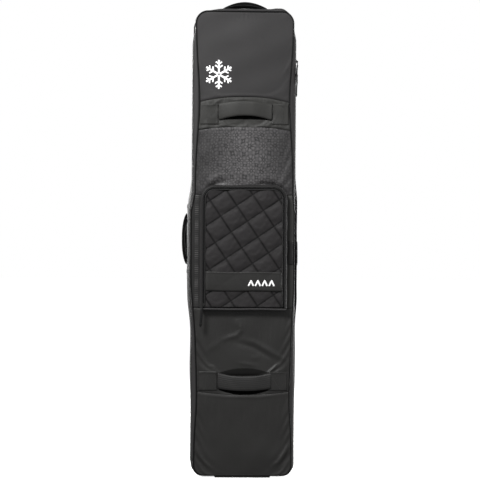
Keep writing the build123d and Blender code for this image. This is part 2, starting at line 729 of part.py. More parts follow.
def make_board_straps():
    """The two straps across the board, looped through the halves of their side-release buckles."""
    slot_half = BOARD_WEBBING[0] / 2 + 0.6
    with BuildPart() as straps:
        for z in BOARD_STRAPS.values():
            webbing_loop(-1, 168.0, 31.0, 79.0, z)
    save(straps, "board_straps_left")
    with BuildPart() as sockets:
        for z in BOARD_STRAPS.values():
            block((-38, 8), (68.6, 76.6), (z - BUCKLE_HALF, z + BUCKLE_HALF))
        fillet(sockets.edges().filter_by(Axis.Y), 4)
        for z in BOARD_STRAPS.values():
            slot = (z - slot_half, z + slot_half)
            block((-20, 9), (70.4, 74.8), (z - 13.6, z + 13.6), mode=Mode.SUBTRACT)
            block((-14, -2), (69.6, 75.6), (z - 20, z + 20), mode=Mode.SUBTRACT)
            block((-33.4, -30.2), (60, 80), slot, mode=Mode.SUBTRACT)
            block((-40, -33.4), (68, 73.6), slot, mode=Mode.SUBTRACT)
    save(sockets, "buckle_sockets")
    for name, z in BOARD_STRAPS.items():
        slot = (z - slot_half, z + slot_half)
        prongs = (71.0, 74.2)
        with BuildPart() as plug:
            block((BUCKLE_SPLIT, 32), (69.2, 76.0), (z - 15.5, z + 15.5))
            fillet(plug.edges().filter_by(Axis.Y), 3)
            block((24.2, 27.4), (60, 80), slot, mode=Mode.SUBTRACT)
            block((27.4, 34), (68, 73.2), slot, mode=Mode.SUBTRACT)
            block((-15, BUCKLE_SPLIT + 1), prongs, (z - 2.5, z + 2.5))
            for side in (-1, 1):
                block((-12, BUCKLE_SPLIT + 1), prongs, (z + side * 9.5, z + side * 12.6))
                block((-13, -4), prongs, (z + side * 8.0, z + side * 13.2))
            webbing_loop(1, 150.0, 25.0, 78.6, z)
        save(plug, f"{name}_buckle_plug")


if __name__ == "__main__":
    os.makedirs("parts", exist_ok=True)
    make_back()
    make_gussets()
    make_shell_patches()
    make_main_zip()
    make_base()
    make_wheel_wells()
    make_axles()
    make_wheel("left", -WHEEL_X)
    make_wheel("right", WHEEL_X)
    make_skid_rails()
    make_case_screws()
    make_board_straps()
    make_lid_panels()
    make_lid_rim()
    make_lid_patches()
    for handle, (centre, ends, middle) in FRONT_HANDLES.items():
        make_front_handle(handle, centre, ends, middle)
    make_pocket()
    make_flap()
    for slider, (level, tilt) in MAIN_SLIDERS.items():
        make_slider(slider, main_zip_seat(level))
        make_pull(slider, main_zip_seat(level), tilt, MAIN_GRIP)
    make_slider("pocket", pocket_zip_seat())
    make_pull("pocket", pocket_zip_seat(), 0.0, POCKET_GRIP)
    top = Plane(origin=(0, TOP_HANDLE_Y, BODY_TOP), x_dir=(1, 0, 0), z_dir=(0, -1, 0))
    make_carry_handle("top_handle", top, TOP_HANDLE_HALF, TOP_HANDLE_RISE, 36.0)
    side_middle = (SIDE_HANDLE_LOW + SIDE_HANDLE_HIGH) / 2
    side = Plane(origin=(-HALF_WIDTH, 0, side_middle), x_dir=(0, 0, 1), z_dir=(0, -1, 0))
    side_half = (SIDE_HANDLE_HIGH - SIDE_HANDLE_LOW) / 2
    make_carry_handle("side_handle", side, side_half, SIDE_HANDLE_RISE, 42.0)
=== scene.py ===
"""Snowboard bag: the looks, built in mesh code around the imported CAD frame.

Lengths are in millimetres until a mesh is made. X is right, Y back and Z up, as in the frame.
"""

import math

import bmesh
import bpy
import numpy as np
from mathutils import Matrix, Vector


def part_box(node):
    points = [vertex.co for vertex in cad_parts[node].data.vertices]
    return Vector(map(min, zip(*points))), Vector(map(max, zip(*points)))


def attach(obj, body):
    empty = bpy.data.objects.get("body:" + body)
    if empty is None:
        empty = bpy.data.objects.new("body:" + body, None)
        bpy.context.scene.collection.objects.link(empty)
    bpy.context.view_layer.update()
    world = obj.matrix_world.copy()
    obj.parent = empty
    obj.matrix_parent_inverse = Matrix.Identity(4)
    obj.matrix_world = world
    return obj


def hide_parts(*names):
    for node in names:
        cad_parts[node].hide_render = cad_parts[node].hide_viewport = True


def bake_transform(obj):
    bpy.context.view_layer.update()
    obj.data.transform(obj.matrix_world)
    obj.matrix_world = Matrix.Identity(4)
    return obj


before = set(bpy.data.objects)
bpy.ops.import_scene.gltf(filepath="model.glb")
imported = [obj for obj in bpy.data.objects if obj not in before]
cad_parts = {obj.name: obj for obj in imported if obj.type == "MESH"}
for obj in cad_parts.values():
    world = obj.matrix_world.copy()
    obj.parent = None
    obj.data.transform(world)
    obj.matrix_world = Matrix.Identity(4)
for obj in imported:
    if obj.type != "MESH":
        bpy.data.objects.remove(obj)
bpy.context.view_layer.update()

MM = 0.001
RNG = np.random.default_rng(7)

# ------------------------------------------------------------------ sizes, most of them read from the frame


def span(node):
    """A CAD node's lowest and highest corners in millimetres."""
    low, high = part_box(node)
    return np.array(low) / MM, np.array(high) / MM


HALF = span("lid_upper_panel")[1][0]
TOP = span("lid_upper_panel")[1][2]
BOTTOM = span("lid_bottom_panel")[0][2]
FRONT = span("lid_upper_panel")[0][1]
BACK = span("back_panel")[1][1]
RIM_BACK = span("lid_rim")[1][1]
ZIP_Y = (span("main_zip_shell_half")[0][1] + span("main_zip_lid_half")[1][1]) / 2
GUSSET_FRONT = span("right_gusset")[0][1]
TRAY_TOP = span("right_gusset")[0][2]
TRAY_BACK_TOP = span("back_panel")[0][2]
TOP_CORNER = TOP - span("right_gusset")[1][2]
BOTTOM_CORNER = TRAY_TOP - BOTTOM
HINGE_Y = -88.4
LINING_Y = span("lid_lining")[1][1]
BACK_LINING_Y = span("back_lining")[0][1]

SEAM_BOTTOM = 297.0
SEAM_POCKET_LOW = span("lid_pocket_back")[0][2]
SEAM_POCKET_HIGH = span("lid_pocket_back")[1][2]
SEAM_BAND_LOW = 1253.0
SEAM_BAND_HIGH = 1362.0

POCKET_LOW, POCKET_HIGH = span("pocket_wall")
FLAP_LOW, FLAP_HIGH = span("flap_quilted_panel")
POCKET_HALF = POCKET_HIGH[0]
POCKET_FRONT = POCKET_LOW[1]
POCKET_TOP = POCKET_HIGH[2]
POCKET_CORNER = 50.0
FLAP_FRONT = FLAP_LOW[1]

# ------------------------------------------------------------------ mesh helpers


def collect(name, vertices, faces, uvs=None):
    """Makes a smooth-shaded object from millimetre vertices, with one UV pair in metres per face corner."""
    mesh = bpy.data.meshes.new(name)
    mesh.from_pydata((np.asarray(vertices, dtype=float) * MM).tolist(), [], faces)
    if uvs is not None:
        layer = mesh.uv_layers.new(name="UVMap")
        layer.data.foreach_set("uv", (np.asarray(uvs, dtype=float) * MM).ravel())
    mesh.polygons.foreach_set("use_smooth", [True] * len(mesh.polygons))
    piece = bpy.data.objects.new(name, mesh)
    bpy.context.scene.collection.objects.link(piece)
    return piece


def lengths(points, close):
    """Distance run along a line of points, with one more value at the end when the line closes."""
    ring = np.vstack([points, points[:1]]) if close else points
    steps = np.linalg.norm(np.diff(ring, axis=0), axis=1)
    return np.concatenate([[0.0], np.cumsum(steps)])


def grid(name, points, close_u=False, close_v=False, u=None, v=None):
    """A surface through an array of points, rows along u and columns along v."""
    count_u, count_v = points.shape[:2]
    if u is None:
        u = lengths(points[:, count_v // 2], close_u)
    if v is None:
        v = lengths(points[count_u // 2], close_v)
    rows = np.arange(count_u if close_u else count_u - 1)
    cols = np.arange(count_v if close_v else count_v - 1)
    i, j = [a.ravel() for a in np.meshgrid(rows, cols, indexing="ij")]
    i2, j2 = (i + 1) % count_u, (j + 1) % count_v
    faces = np.stack([i * count_v + j, i2 * count_v + j, i2 * count_v + j2, i * count_v + j2], axis=1)
    corners = np.stack([u[i], v[j], u[i + 1], v[j], u[i + 1], v[j + 1], u[i], v[j + 1]], axis=1)
    return collect(name, points.reshape(-1, 3), faces.tolist(), corners.reshape(-1, 2))


def settle_mesh(piece):
    """Applies the piece's modifiers."""
    graph = bpy.context.evaluated_depsgraph_get()
    mesh = bpy.data.meshes.new_from_object(piece.evaluated_get(graph))
    piece.modifiers.clear()
    piece.data = mesh
    return piece


def thicken(piece, thickness, outwards=False):
    """Gives an open sheet its thickness, away from the side that its normals face."""
    solid = piece.modifiers.new("Solidify", "SOLIDIFY")
    solid.thickness = thickness * MM
    solid.offset = 1.0 if outwards else -1.0
    return settle_mesh(piece)


def face_outwards(piece):
    """Turns a closed mesh's normals outwards."""
    shape = bmesh.new()
    shape.from_mesh(piece.data)
    bmesh.ops.recalc_face_normals(shape, faces=shape.faces)
    shape.to_mesh(piece.data)
    shape.free()
    return piece


def join(name, pieces):
    """Joins several pieces into one mesh object."""
    shape = bmesh.new()
    for piece in pieces:
        shape.from_mesh(piece.data)
    mesh = bpy.data.meshes.new(name)
    shape.to_mesh(mesh)
    shape.free()
    joined = bpy.data.objects.new(name, mesh)
    bpy.context.scene.collection.objects.link(joined)
    for piece in pieces:
        bpy.data.objects.remove(piece)
    return joined


def sweep(name, centres, axis_a, axis_b, section, close=False):
    """Carries a closed section, given as (a, b) pairs, along centres. The two axes are unit vectors."""
    section = np.asarray(section, dtype=float)
    if section.ndim == 2:
        section = np.repeat(section[None], len(centres), axis=0)
    points = (
        centres[:, None, :]
        + section[:, :, 0, None] * axis_a[:, None, :]
        + section[:, :, 1, None] * axis_b[:, None, :]
    )
    around = lengths(section[len(section) // 2], True)
    piece = grid(name, points, close_u=close, close_v=True, u=lengths(centres, close), v=around)
    if not close:
        cap_ends(piece, len(section[0]))
    return face_outwards(piece)


def cap_ends(piece, count):
    """Closes both ends of a swept tube whose rings have count points each."""
    shape = bmesh.new()
    shape.from_mesh(piece.data)
    shape.verts.ensure_lookup_table()
    total = len(shape.verts)
    for first in (0, total - count):
        cap = shape.faces.new([shape.verts[first + k] for k in range(count)])
        for edge in cap.edges:
            edge.smooth = False
    shape.to_mesh(piece.data)
    shape.free()


def round_section(radius_a, radius_b=None, sides=10):
    """An elliptic section."""
    radius_b = radius_b or radius_a
    angle = np.arange(sides) * 2 * math.pi / sides
    return np.stack([radius_a * np.cos(angle), radius_b * np.sin(angle)], axis=1)


def flat_section(width, thickness, crown=0.0, cells=10, edge=0.45):
    """A strap's section: width along a, thickness along b, softly rounded edges and a crowned face."""
    across = np.linspace(-1, 1, cells + 1)
    rounding = np.sqrt(np.clip(1 - np.abs(across) ** (2 + 8 * (1 - edge)), 0.0, 1)) * 0.5 + 0.0
    rounding[[0, -1]] = 0.18
    top = np.stack([across * width / 2, rounding * thickness + crown * (1 - across**2)], axis=1)
    low = np.stack([across[::-1] * width / 2, -rounding[::-1] * thickness], axis=1)
    return np.vstack([top, low])


def tangents(points, close=False):
    """Unit tangents along a line of points."""
    if close:
        delta = np.roll(points, -1, axis=0) - np.roll(points, 1, axis=0)
    else:
        delta = np.gradient(points, axis=0)
    return delta / np.linalg.norm(delta, axis=1, keepdims=True)


def resample(points, pitch, close=False):
    """Points at an even pitch along a line."""
    ring = np.vstack([points, points[:1]]) if close else points
    run = lengths(points, close)
    count = max(2, int(round(run[-1] / pitch)))
    at = np.linspace(0, run[-1], count + (0 if close else 1), endpoint=not close)
    return np.stack([np.interp(at, run, ring[:, k]) for k in range(3)], axis=1)


def smooth_step(value):
    value = np.clip(value, 0.0, 1.0)
    return value * value * (3 - 2 * value)


def bell(value, centre, width):
    return np.exp(-(((value - centre) / width) ** 2))


def ripple(a, b, scale, seed, waves=9):
    """A smooth random field over two coordinates, about -1 to 1, with features about scale long."""
    draw = np.random.default_rng(seed)
    total = np.zeros_like(a, dtype=float)
    for _ in range(waves):
        angle = draw.uniform(0, 2 * math.pi)
        pitch = scale * draw.uniform(0.7, 1.6)
        phase = draw.uniform(0, 2 * math.pi)
        total += np.sin(2 * math.pi * (a * math.cos(angle) + b * math.sin(angle)) / pitch + phase)
    return total / math.sqrt(waves * 2.0)


def along(px, pz, line, width):
    """How strongly points lie on a crease: 1 on the line, falling off to its sides and towards its ends."""
    line = np.asarray(line, dtype=float)
    best = np.full(np.shape(px), 1e9)
    where = np.zeros(np.shape(px))
    run = 0.0
    total = np.linalg.norm(np.diff(line, axis=0), axis=1).sum()
    for (x0, z0), (x1, z1) in zip(line[:-1], line[1:]):
        length = math.hypot(x1 - x0, z1 - z0)
        t = np.clip(((px - x0) * (x1 - x0) + (pz - z0) * (z1 - z0)) / length**2, 0, 1)
        distance = np.hypot(px - x0 - t * (x1 - x0), pz - z0 - t * (z1 - z0))
        closer = distance < best
        best = np.where(closer, distance, best)
        where = np.where(closer, (run + t * length) / total, where)
        run += length
    ends = np.sin(np.clip(where, 0.03, 0.97) * math.pi) ** 0.6
    return np.exp(-((best / width) ** 2)) * ends


# ------------------------------------------------------------------ materials


def new_material(name, colour, roughness, **inputs):
    """A Principled material, with values that are the same all over set straight on its sockets."""
    made = bpy.data.materials.new(name)
    made.use_nodes = True
    shader = made.node_tree.nodes["Principled BSDF"]
    shader.inputs["Base Color"].default_value = (*colour, 1.0)
    shader.inputs["Roughness"].default_value = roughness
    for socket, value in inputs.items():
        shader.inputs[socket.replace("_", " ")].default_value = value
    return made


class Nodes:
    """Short calls for building one material's node tree."""

    def __init__(self, material):
        self.tree = material.node_tree
        self.shader = self.tree.nodes["Principled BSDF"]

    def add(self, kind, **values):
        node = self.tree.nodes.new(kind)
        for key, value in values.items():
            if key in node.inputs:
                node.inputs[key].default_value = value
            else:
                setattr(node, key, value)
        return node

    def link(self, source, target):
        self.tree.links.new(source, target)

    def math(self, operation, a, b=None, c=None):
        node = self.tree.nodes.new("ShaderNodeMath")
        node.operation = operation
        for socket, value in zip(node.inputs, (a, b, c)):
            if value is None:
                continue
            if isinstance(value, (int, float)):
                socket.default_value = value
            else:
                self.link(value, socket)
        return node.outputs[0]

    def coordinates(self, kind):
        """Plane coordinates in metres: the UV map's, or the frame's own."""
        source = self.add("ShaderNodeTexCoord").outputs["UV" if kind == "UV" else "Object"]
        split = self.add("ShaderNodeSeparateXYZ")
        self.link(source, split.inputs[0])
        return source, split.outputs

    def noise(self, vector, scale, detail=3.0, roughness=0.55):
        node = self.add("ShaderNodeTexNoise", Scale=scale, Detail=detail, Roughness=roughness)
        self.link(vector, node.inputs["Vector"])
        return node.outputs["Fac"]

    def ramp(self, factor, low, high):
        """Mixes two colours, each a tuple or a socket, by a factor."""
        node = self.add("ShaderNodeMix", data_type="RGBA")
        self.link(factor, [i for i in node.inputs if i.name == "Factor" and i.type == "VALUE"][0])
        ends = {i.name: i for i in node.inputs if i.type == "RGBA"}
        for name, value in (("A", low), ("B", high)):
            if isinstance(value, tuple):
                ends[name].default_value = (*value, 1.0)
            else:
                self.link(value, ends[name])
        return [o for o in node.outputs if o.type == "RGBA"][0]

    def clamp(self, value, gain):
        """A value times a gain, kept between 0 and 1."""
        return self.math("MAXIMUM", self.math("MINIMUM", self.math("MULTIPLY", value, gain), 1.0), 0.0)

    def hump(self, value, centre, width):
        """A bell curve of a value."""
        away = self.math("MULTIPLY_ADD", value, 1 / width, -centre / width)
        return self.math("EXPONENT", self.math("MULTIPLY", self.math("MULTIPLY", away, away), -1.0))

    def bump(self, height, strength, distance_mm, normal=None):
        node = self.add("ShaderNodeBump", Strength=strength, Distance=distance_mm * MM)
        self.link(height, node.inputs["Height"])
        if normal is not None:
            self.link(normal, node.inputs["Normal"])
        return node.outputs["Normal"]


def scaled(colour, factor):
    return tuple(min(1.0, c * factor) for c in colour)


# The quilting's two directions and one of its crossings, as (x, z)
LATTICE_A = np.array([57.2, 38.6])
LATTICE_B = np.array([38.0, -56.0])
LATTICE_O = np.array([-26.1, 972.0])


def weave(nodes, axes, pitch_mm):
    """A plain weave's height: threads that pass over and under each other."""
    turns = math.pi / (pitch_mm * MM)
    a = nodes.math("SINE", nodes.math("MULTIPLY", axes[0], turns))
    b = nodes.math("SINE", nodes.math("MULTIPLY", axes[1], turns))
    over = nodes.math("MULTIPLY", a, b)
    return nodes.math("ABSOLUTE", over)


def rosette(nodes, axes, cell_mm, shift, petals):
    """One lattice of rosettes: petals round a boss, inside a ring."""
    local = []
    for axis in axes:
        cell = nodes.math("FRACT", nodes.math("MULTIPLY_ADD", axis, 1 / (cell_mm * MM), 100 + shift))
        local.append(nodes.math("SUBTRACT", cell, 0.5))
    squares = [nodes.math("MULTIPLY", side, side) for side in local]
    reach = nodes.math("SQRT", nodes.math("ADD", *squares))
    turn = nodes.math("MULTIPLY", nodes.math("ARCTAN2", local[1], local[0]), petals / 2)
    leaf = nodes.math("MULTIPLY", nodes.math("ABSOLUTE", nodes.math("COSINE", turn)), nodes.hump(reach, 0.27, 0.13))
    ring = nodes.math("MULTIPLY", nodes.hump(reach, 0.46, 0.035), 0.6)
    return nodes.math("MAXIMUM", nodes.math("MAXIMUM", leaf, nodes.hump(reach, 0.0, 0.07)), ring)


def lace(nodes, axes, cell_mm):
    """Two interleaved lattices of rosettes, with a painted highlight: they are brighter over the middle of the bag,
    where the light's reflection falls.
    """
    place, _ = nodes.coordinates("Object")
    drift = [nodes.math("MULTIPLY_ADD", nodes.noise(place, scale, 2.0), 0.034, -0.017) for scale in (15.0, 19.0)]
    axes = [nodes.math("ADD", axis, shift) for axis, shift in zip(axes, drift)]
    first = rosette(nodes, axes, cell_mm, 0.0, 8)
    second = nodes.math("MULTIPLY", rosette(nodes, axes, cell_mm, 0.5, 4), 0.85)
    # Painted highlight: the pattern is brightened in a band over the bag's middle, standing in for the light's
    # reflection there.
    clear = nodes.math("MULTIPLY_ADD", nodes.hump(axes[0], 0.005, 0.115), 0.85, 0.15)
    return nodes.math("MULTIPLY", nodes.math("MAXIMUM", first, second), clear)


def dashes(nodes, axes, pitch_mm):
    """Rows of short raised bars down the left strip, in groups."""
    rows = nodes.math("SINE", nodes.math("MULTIPLY", axes[1], 2 * math.pi / (pitch_mm * MM)))
    groups = nodes.math("SINE", nodes.math("MULTIPLY", axes[1], 2 * math.pi / (pitch_mm * 7.7 * MM)))
    across = nodes.math("COSINE", nodes.math("MULTIPLY_ADD", axes[0], 2 * math.pi / (29 * MM), 4.98))
    bars = nodes.math("MULTIPLY", nodes.clamp(rows, 2.2), nodes.clamp(across, 2.5))
    return nodes.math("MULTIPLY", bars, nodes.math("MULTIPLY_ADD", groups, 0.35, 0.6))


def painted_seam_shade(nodes, axes, width_mm):
    """Painted shade along the quilting's seams: dark lines along its two directions, where the seams' grooves fall into
    shade.
    """
    (ax, az), (bx, bz) = LATTICE_A, LATTICE_B
    det = (ax * bz - az * bx) * MM
    origin = (-LATTICE_O[0] * MM, -LATTICE_O[1] * MM)
    x, z = [nodes.math("ADD", axis, start) for axis, start in zip(axes, origin)]
    lines = []
    for kx, kz, size in ((bz / det, -bx / det, 69.0), (-az / det, ax / det, 67.7)):
        place = nodes.math("MULTIPLY_ADD", x, kx, nodes.math("MULTIPLY_ADD", z, kz, 100.5))
        away = nodes.math("SUBTRACT", nodes.math("FRACT", place), 0.5)
        lines.append(nodes.hump(away, 0.0, width_mm / size))
    return nodes.math("MAXIMUM", *lines)


def make_fabric(name, colour, roughness=0.6, pitch=0.75, uv=True, pattern_and_shade=None, sheen=0.04, depth=0.16, gloss=0.24):
    """Coated polyester: a fine plain weave, cloudy wear and, where it is embossed, a raised lattice; the same lattice
    input also paints shade along the quilt's seams and a highlight over the embossed panel's middle.
    """
    made = new_material(
        name, colour, roughness, Sheen_Weight=sheen, Sheen_Roughness=0.45, Specular_IOR_Level=gloss
    )
    nodes = Nodes(made)
    vector, axes = nodes.coordinates("UV" if uv else "Object")
    if not uv:
        axes = (nodes.math("ADD", axes[0], axes[1]), axes[2])
    cloud = nodes.noise(vector, 9.0, 5.0)
    grain = nodes.noise(vector, 900.0, 2.0)
    threads = weave(nodes, axes, pitch)
    tone = nodes.math("MULTIPLY_ADD", threads, 0.35, nodes.math("MULTIPLY", cloud, 0.5))
    tone = nodes.math("MULTIPLY_ADD", grain, 0.3, tone)
    height = nodes.math("MULTIPLY_ADD", grain, 0.35, threads)
    rough = nodes.math("MULTIPLY_ADD", cloud, 0.18, roughness - 0.09)
    normal = nodes.bump(height, 0.5, depth)
    shade = nodes.ramp(tone, scaled(colour, 0.65), scaled(colour, 1.45))
    # The lattice draws the embossed fabrics' own pattern, and on the quilt it paints shade along the seams; the
    # embossed panel's lattice also carries a painted highlight over the bag's middle.
    if pattern_and_shade:
        pattern, size, pattern_and_shade_tone = pattern_and_shade
        _, spread = nodes.coordinates("Object")
        lattice = pattern(nodes, (spread[0], spread[2]), size)
        pattern_and_shade_mix = nodes.math("MULTIPLY", lattice, nodes.math("MULTIPLY_ADD", cloud, 1.0, 0.45))
        shade = nodes.ramp(nodes.math("MINIMUM", pattern_and_shade_mix, 1.0), shade, scaled(colour, pattern_and_shade_tone))
        rough = nodes.math("MULTIPLY_ADD", pattern_and_shade_mix, -0.1, rough)
        normal = nodes.bump(lattice, 0.6, 0.5, normal)
    nodes.link(shade, nodes.shader.inputs["Base Color"])
    nodes.link(rough, nodes.shader.inputs["Roughness"])
    nodes.link(normal, nodes.shader.inputs["Normal"])
    return made


def make_webbing(name, colour, ribs=1.6, across=0):
    """Woven strap: ribs along its length, crossed by the fine weft. Its UV runs (length, width)."""
    made = new_material(name, colour, 0.55, Sheen_Weight=0.05, Sheen_Roughness=0.4, Specular_IOR_Level=0.24)
    nodes = Nodes(made)
    vector, axes = nodes.coordinates("UV")
    rib = nodes.math("SINE", nodes.math("MULTIPLY", axes[1 - across], 2 * math.pi / (ribs * MM)))
    weft = nodes.math("SINE", nodes.math("MULTIPLY", axes[across], 2 * math.pi / (0.9 * MM)))
    cloud = nodes.noise(vector, 24.0, 4.0)
    height = nodes.math("MULTIPLY_ADD", weft, 0.35, rib)
    tone = nodes.math("MULTIPLY_ADD", rib, 0.18, nodes.math("MULTIPLY_ADD", weft, 0.12, cloud))
    nodes.link(nodes.ramp(tone, scaled(colour, 0.7), scaled(colour, 1.35)), nodes.shader.inputs["Base Color"])
    nodes.link(nodes.math("MULTIPLY_ADD", cloud, 0.2, 0.45), nodes.shader.inputs["Roughness"])
    nodes.link(nodes.bump(height, 0.6, 0.25), nodes.shader.inputs["Normal"])
    return made


def make_plastic(name, colour, roughness, grain=420.0, depth=0.12, uv=False, **inputs):
    """Moulded plastic or rubber: a spark-eroded grain, scuffs and slight colour drift."""
    made = new_material(name, colour, roughness, **inputs)
    nodes = Nodes(made)
    vector, _ = nodes.coordinates("UV" if uv else "Object")
    fine = nodes.noise(vector, grain, 2.0)
    scuff = nodes.noise(vector, 38.0, 6.0, 0.7)
    tone = nodes.math("MULTIPLY_ADD", fine, 0.3, nodes.math("MULTIPLY", scuff, 0.7))
    nodes.link(nodes.ramp(tone, scaled(colour, 0.75), scaled(colour, 1.4)), nodes.shader.inputs["Base Color"])
    nodes.link(nodes.math("MULTIPLY_ADD", scuff, 0.3, roughness - 0.15), nodes.shader.inputs["Roughness"])
    nodes.link(nodes.bump(fine, 0.5, depth), nodes.shader.inputs["Normal"])
    return made


def make_metal(name, colour, roughness):
    """Plated steel with fine turning marks."""
    made = new_material(name, colour, roughness, Metallic=1.0)
    nodes = Nodes(made)
    vector, axes = nodes.coordinates("Object")
    marks = nodes.noise(vector, 600.0, 3.0)
    nodes.link(nodes.ramp(marks, scaled(colour, 0.8), scaled(colour, 1.1)), nodes.shader.inputs["Base Color"])
    nodes.link(nodes.math("MULTIPLY_ADD", marks, 0.25, roughness - 0.1), nodes.shader.inputs["Roughness"])
    nodes.link(nodes.bump(marks, 0.3, 0.05), nodes.shader.inputs["Normal"])
    return made


MAIN = make_fabric("main_fabric", (0.0138, 0.0131, 0.0134), gloss=0.27)
BAND = make_fabric("band_fabric", (0.0155, 0.0153, 0.0141), gloss=0.28)
# Painted shade: a darker, less glossy copy of the main fabric for the sides and top, holding down how bright the lit
# sides render.
SHADED_SIDE = make_fabric("side_fabric_painted_shade", (0.0125, 0.012, 0.012), roughness=0.65, sheen=0.0, gloss=0.2)
EMBOSS = make_fabric("embossed_fabric", (0.0099, 0.0095, 0.0097), roughness=0.52, pattern_and_shade=(lace, 43.0, 9.0))
STRIP = make_fabric("embossed_strip", (0.0082, 0.008, 0.0079), pattern_and_shade=(dashes, 6.8, 7.5), gloss=0.2)
# The quilt's colour is painted darker along its seams as painted shade, down to 0.12 of the fabric's tone.
QUILT = make_fabric("quilt_fabric", (0.0142, 0.0132, 0.0136), roughness=0.6, pattern_and_shade=(painted_seam_shade, 3.4, 0.12), gloss=0.13)
# Painted shade: a darker copy of the quilt fabric without its seams, for the pocket's wall and the flap's piping cord,
# so that the wall's top, which faces the key light, stays dark.
SHADED_WALL = make_fabric("pocket_fabric_painted_shade", (0.0088, 0.0084, 0.0085), roughness=0.6, gloss=0.15)
LOWER = make_fabric("lower_fabric", (0.0112, 0.0109, 0.0104), roughness=0.5, gloss=0.26)
# Painted shade and painted shadow: the two dark fabrics below are for sheets laid where the grab handles' shade falls.
SHADE = make_fabric("shaded_fabric", (0.005, 0.0049, 0.0047), roughness=0.7, sheen=0.0, gloss=0.08)
PAINTED_SHADOW = make_fabric("painted_shadow_fabric", (0.0015, 0.0015, 0.0015), roughness=0.8, sheen=0.0, gloss=0.02)
LINING = make_fabric("lining_fabric", (0.05, 0.05, 0.053), roughness=0.7, pitch=1.1)
PAD = make_fabric("pad_fabric", (0.0022, 0.0022, 0.0022), roughness=0.7, pitch=0.9, sheen=0.0, gloss=0.04)
WEBBING = make_webbing("ribbed_webbing", (0.013, 0.0127, 0.0125), ribs=6.5)
BINDING = make_webbing("binding_tape", (0.005, 0.005, 0.0052), ribs=2.0)
PIPING = make_fabric("piping_fabric", (0.003, 0.003, 0.003), roughness=0.55, pitch=0.8, sheen=0.0, gloss=0.12)
TAPE = make_webbing("zip_tape", (0.004, 0.004, 0.0042), ribs=1.4)
COIL = make_plastic("zip_coil", (0.006, 0.006, 0.0062), 0.35, 900.0, 0.03)
THREAD = make_plastic("thread", (0.014, 0.0138, 0.0138), 0.6, 900.0, 0.05)
SLIDER = make_plastic("slider_enamel", (0.004, 0.004, 0.0042), 0.3, 500.0, 0.03, Coat_Weight=0.3)
RUBBER = make_plastic("pull_rubber", (0.004, 0.004, 0.0042), 0.6, 500.0, 0.1, Specular_IOR_Level=0.15)
BASE = make_plastic("base_plastic", (0.01, 0.01, 0.0102), 0.5, 420.0, 0.15)
SOLE = make_plastic("sole_plastic", (0.02, 0.0175, 0.0155), 0.5, 300.0, 0.15)
HUB = make_plastic("hub_plastic", (0.07, 0.07, 0.073), 0.4, 300.0, 0.05)
TYRE = make_plastic("tyre_rubber", (0.01, 0.01, 0.01), 0.6, 250.0, 0.2)
BUCKLE = make_plastic("buckle_plastic", (0.008, 0.008, 0.0085), 0.35, 350.0, 0.08)
STEEL = make_metal("plated_steel", (0.55, 0.55, 0.56), 0.32)
PRINT = make_fabric("white_print", (0.8, 0.8, 0.79), roughness=0.5, sheen=0.0, depth=0.08)


def finish_piece(piece, material, body, slot, *nodes):
    """Gives a piece its material and the body it rides on, and hides the CAD nodes it stands for. The slot is not used.
    """
    piece.data.materials.clear()
    piece.data.materials.append(material)
    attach(piece, body)
    if nodes:
        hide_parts(*nodes)
    return piece


# ------------------------------------------------------------------ the lid's shape

PIPE_TOP = TOP - 9.0
PIPE_LOW = BOTTOM - 3.4
PIPE_R = 42.0
LOW_R = 38.0


def dip(z, centre, below, above):
    """A smooth hollow that is wider on one side than on the other."""
    return np.exp(-(((z - centre) / np.where(z < centre, below, above)) ** 2))


def piping_half(z):
    """Half the width between the lid's two side pipings, which pull in at the two handles."""
    return 175.0 - 14.0 * dip(z, 1345, 155, 165) - 9.0 * dip(z, 285, 110, 200)


def belly(z):
    """How far along its side bulge the front is at a height: 0 outside it and 1 beside the pocket."""
    z = np.asarray(z, dtype=float)
    return smooth_step((1030.0 - z) / 90.0) * smooth_step((z - 480.0) / 260.0)


def bulge(x, z):
    """The side bulge's width, which is larger on the left."""
    return belly(z) * np.where(np.asarray(x) < 0, 14.0, 6.0)


def share_across(x, z):
    """Where a point lies between the front's middle, 0, and its piping, -1 or 1."""
    return x / (piping_half(z) + bulge(x, z))


def front_half(z):
    """Half the front face's width at a height, with its rounded corners."""
    top = np.clip(z - (PIPE_TOP - PIPE_R), 0, PIPE_R)
    low = np.clip(PIPE_LOW + LOW_R - z, 0, LOW_R)
    corners = PIPE_R - np.sqrt(PIPE_R**2 - top**2) + LOW_R - np.sqrt(LOW_R**2 - low**2)
    return piping_half(z) - corners


def band_high(u):
    return 1361.0 - 20.0 * np.abs(u) ** 2.4


def band_low(u):
    return 1253.0 - 13.0 * np.abs(u) ** 3


def bottom_seam(u):
    return 297.0 + 11.0 * np.abs(u) ** 2


def level(value):
    return lambda u: np.full_like(np.asarray(u, dtype=float), value)


def front_y(x, z):
    """The front face's resting depth: a low crown that flattens at the pocket and the handles."""
    u = np.clip(np.abs(share_across(x, z)), 0, 1)
    crown = 4.6 - 4.2 * dip(z, 830, 260, 260) - 2.6 * dip(z, 1305, 60, 60) - 2.2 * dip(z, 335, 60, 60)
    crown *= smooth_step((PIPE_TOP + 4 - z) / 120) * smooth_step((z - PIPE_LOW + 4) / 90)
    return FRONT - 0.6 - crown * (1 - u**2.6)


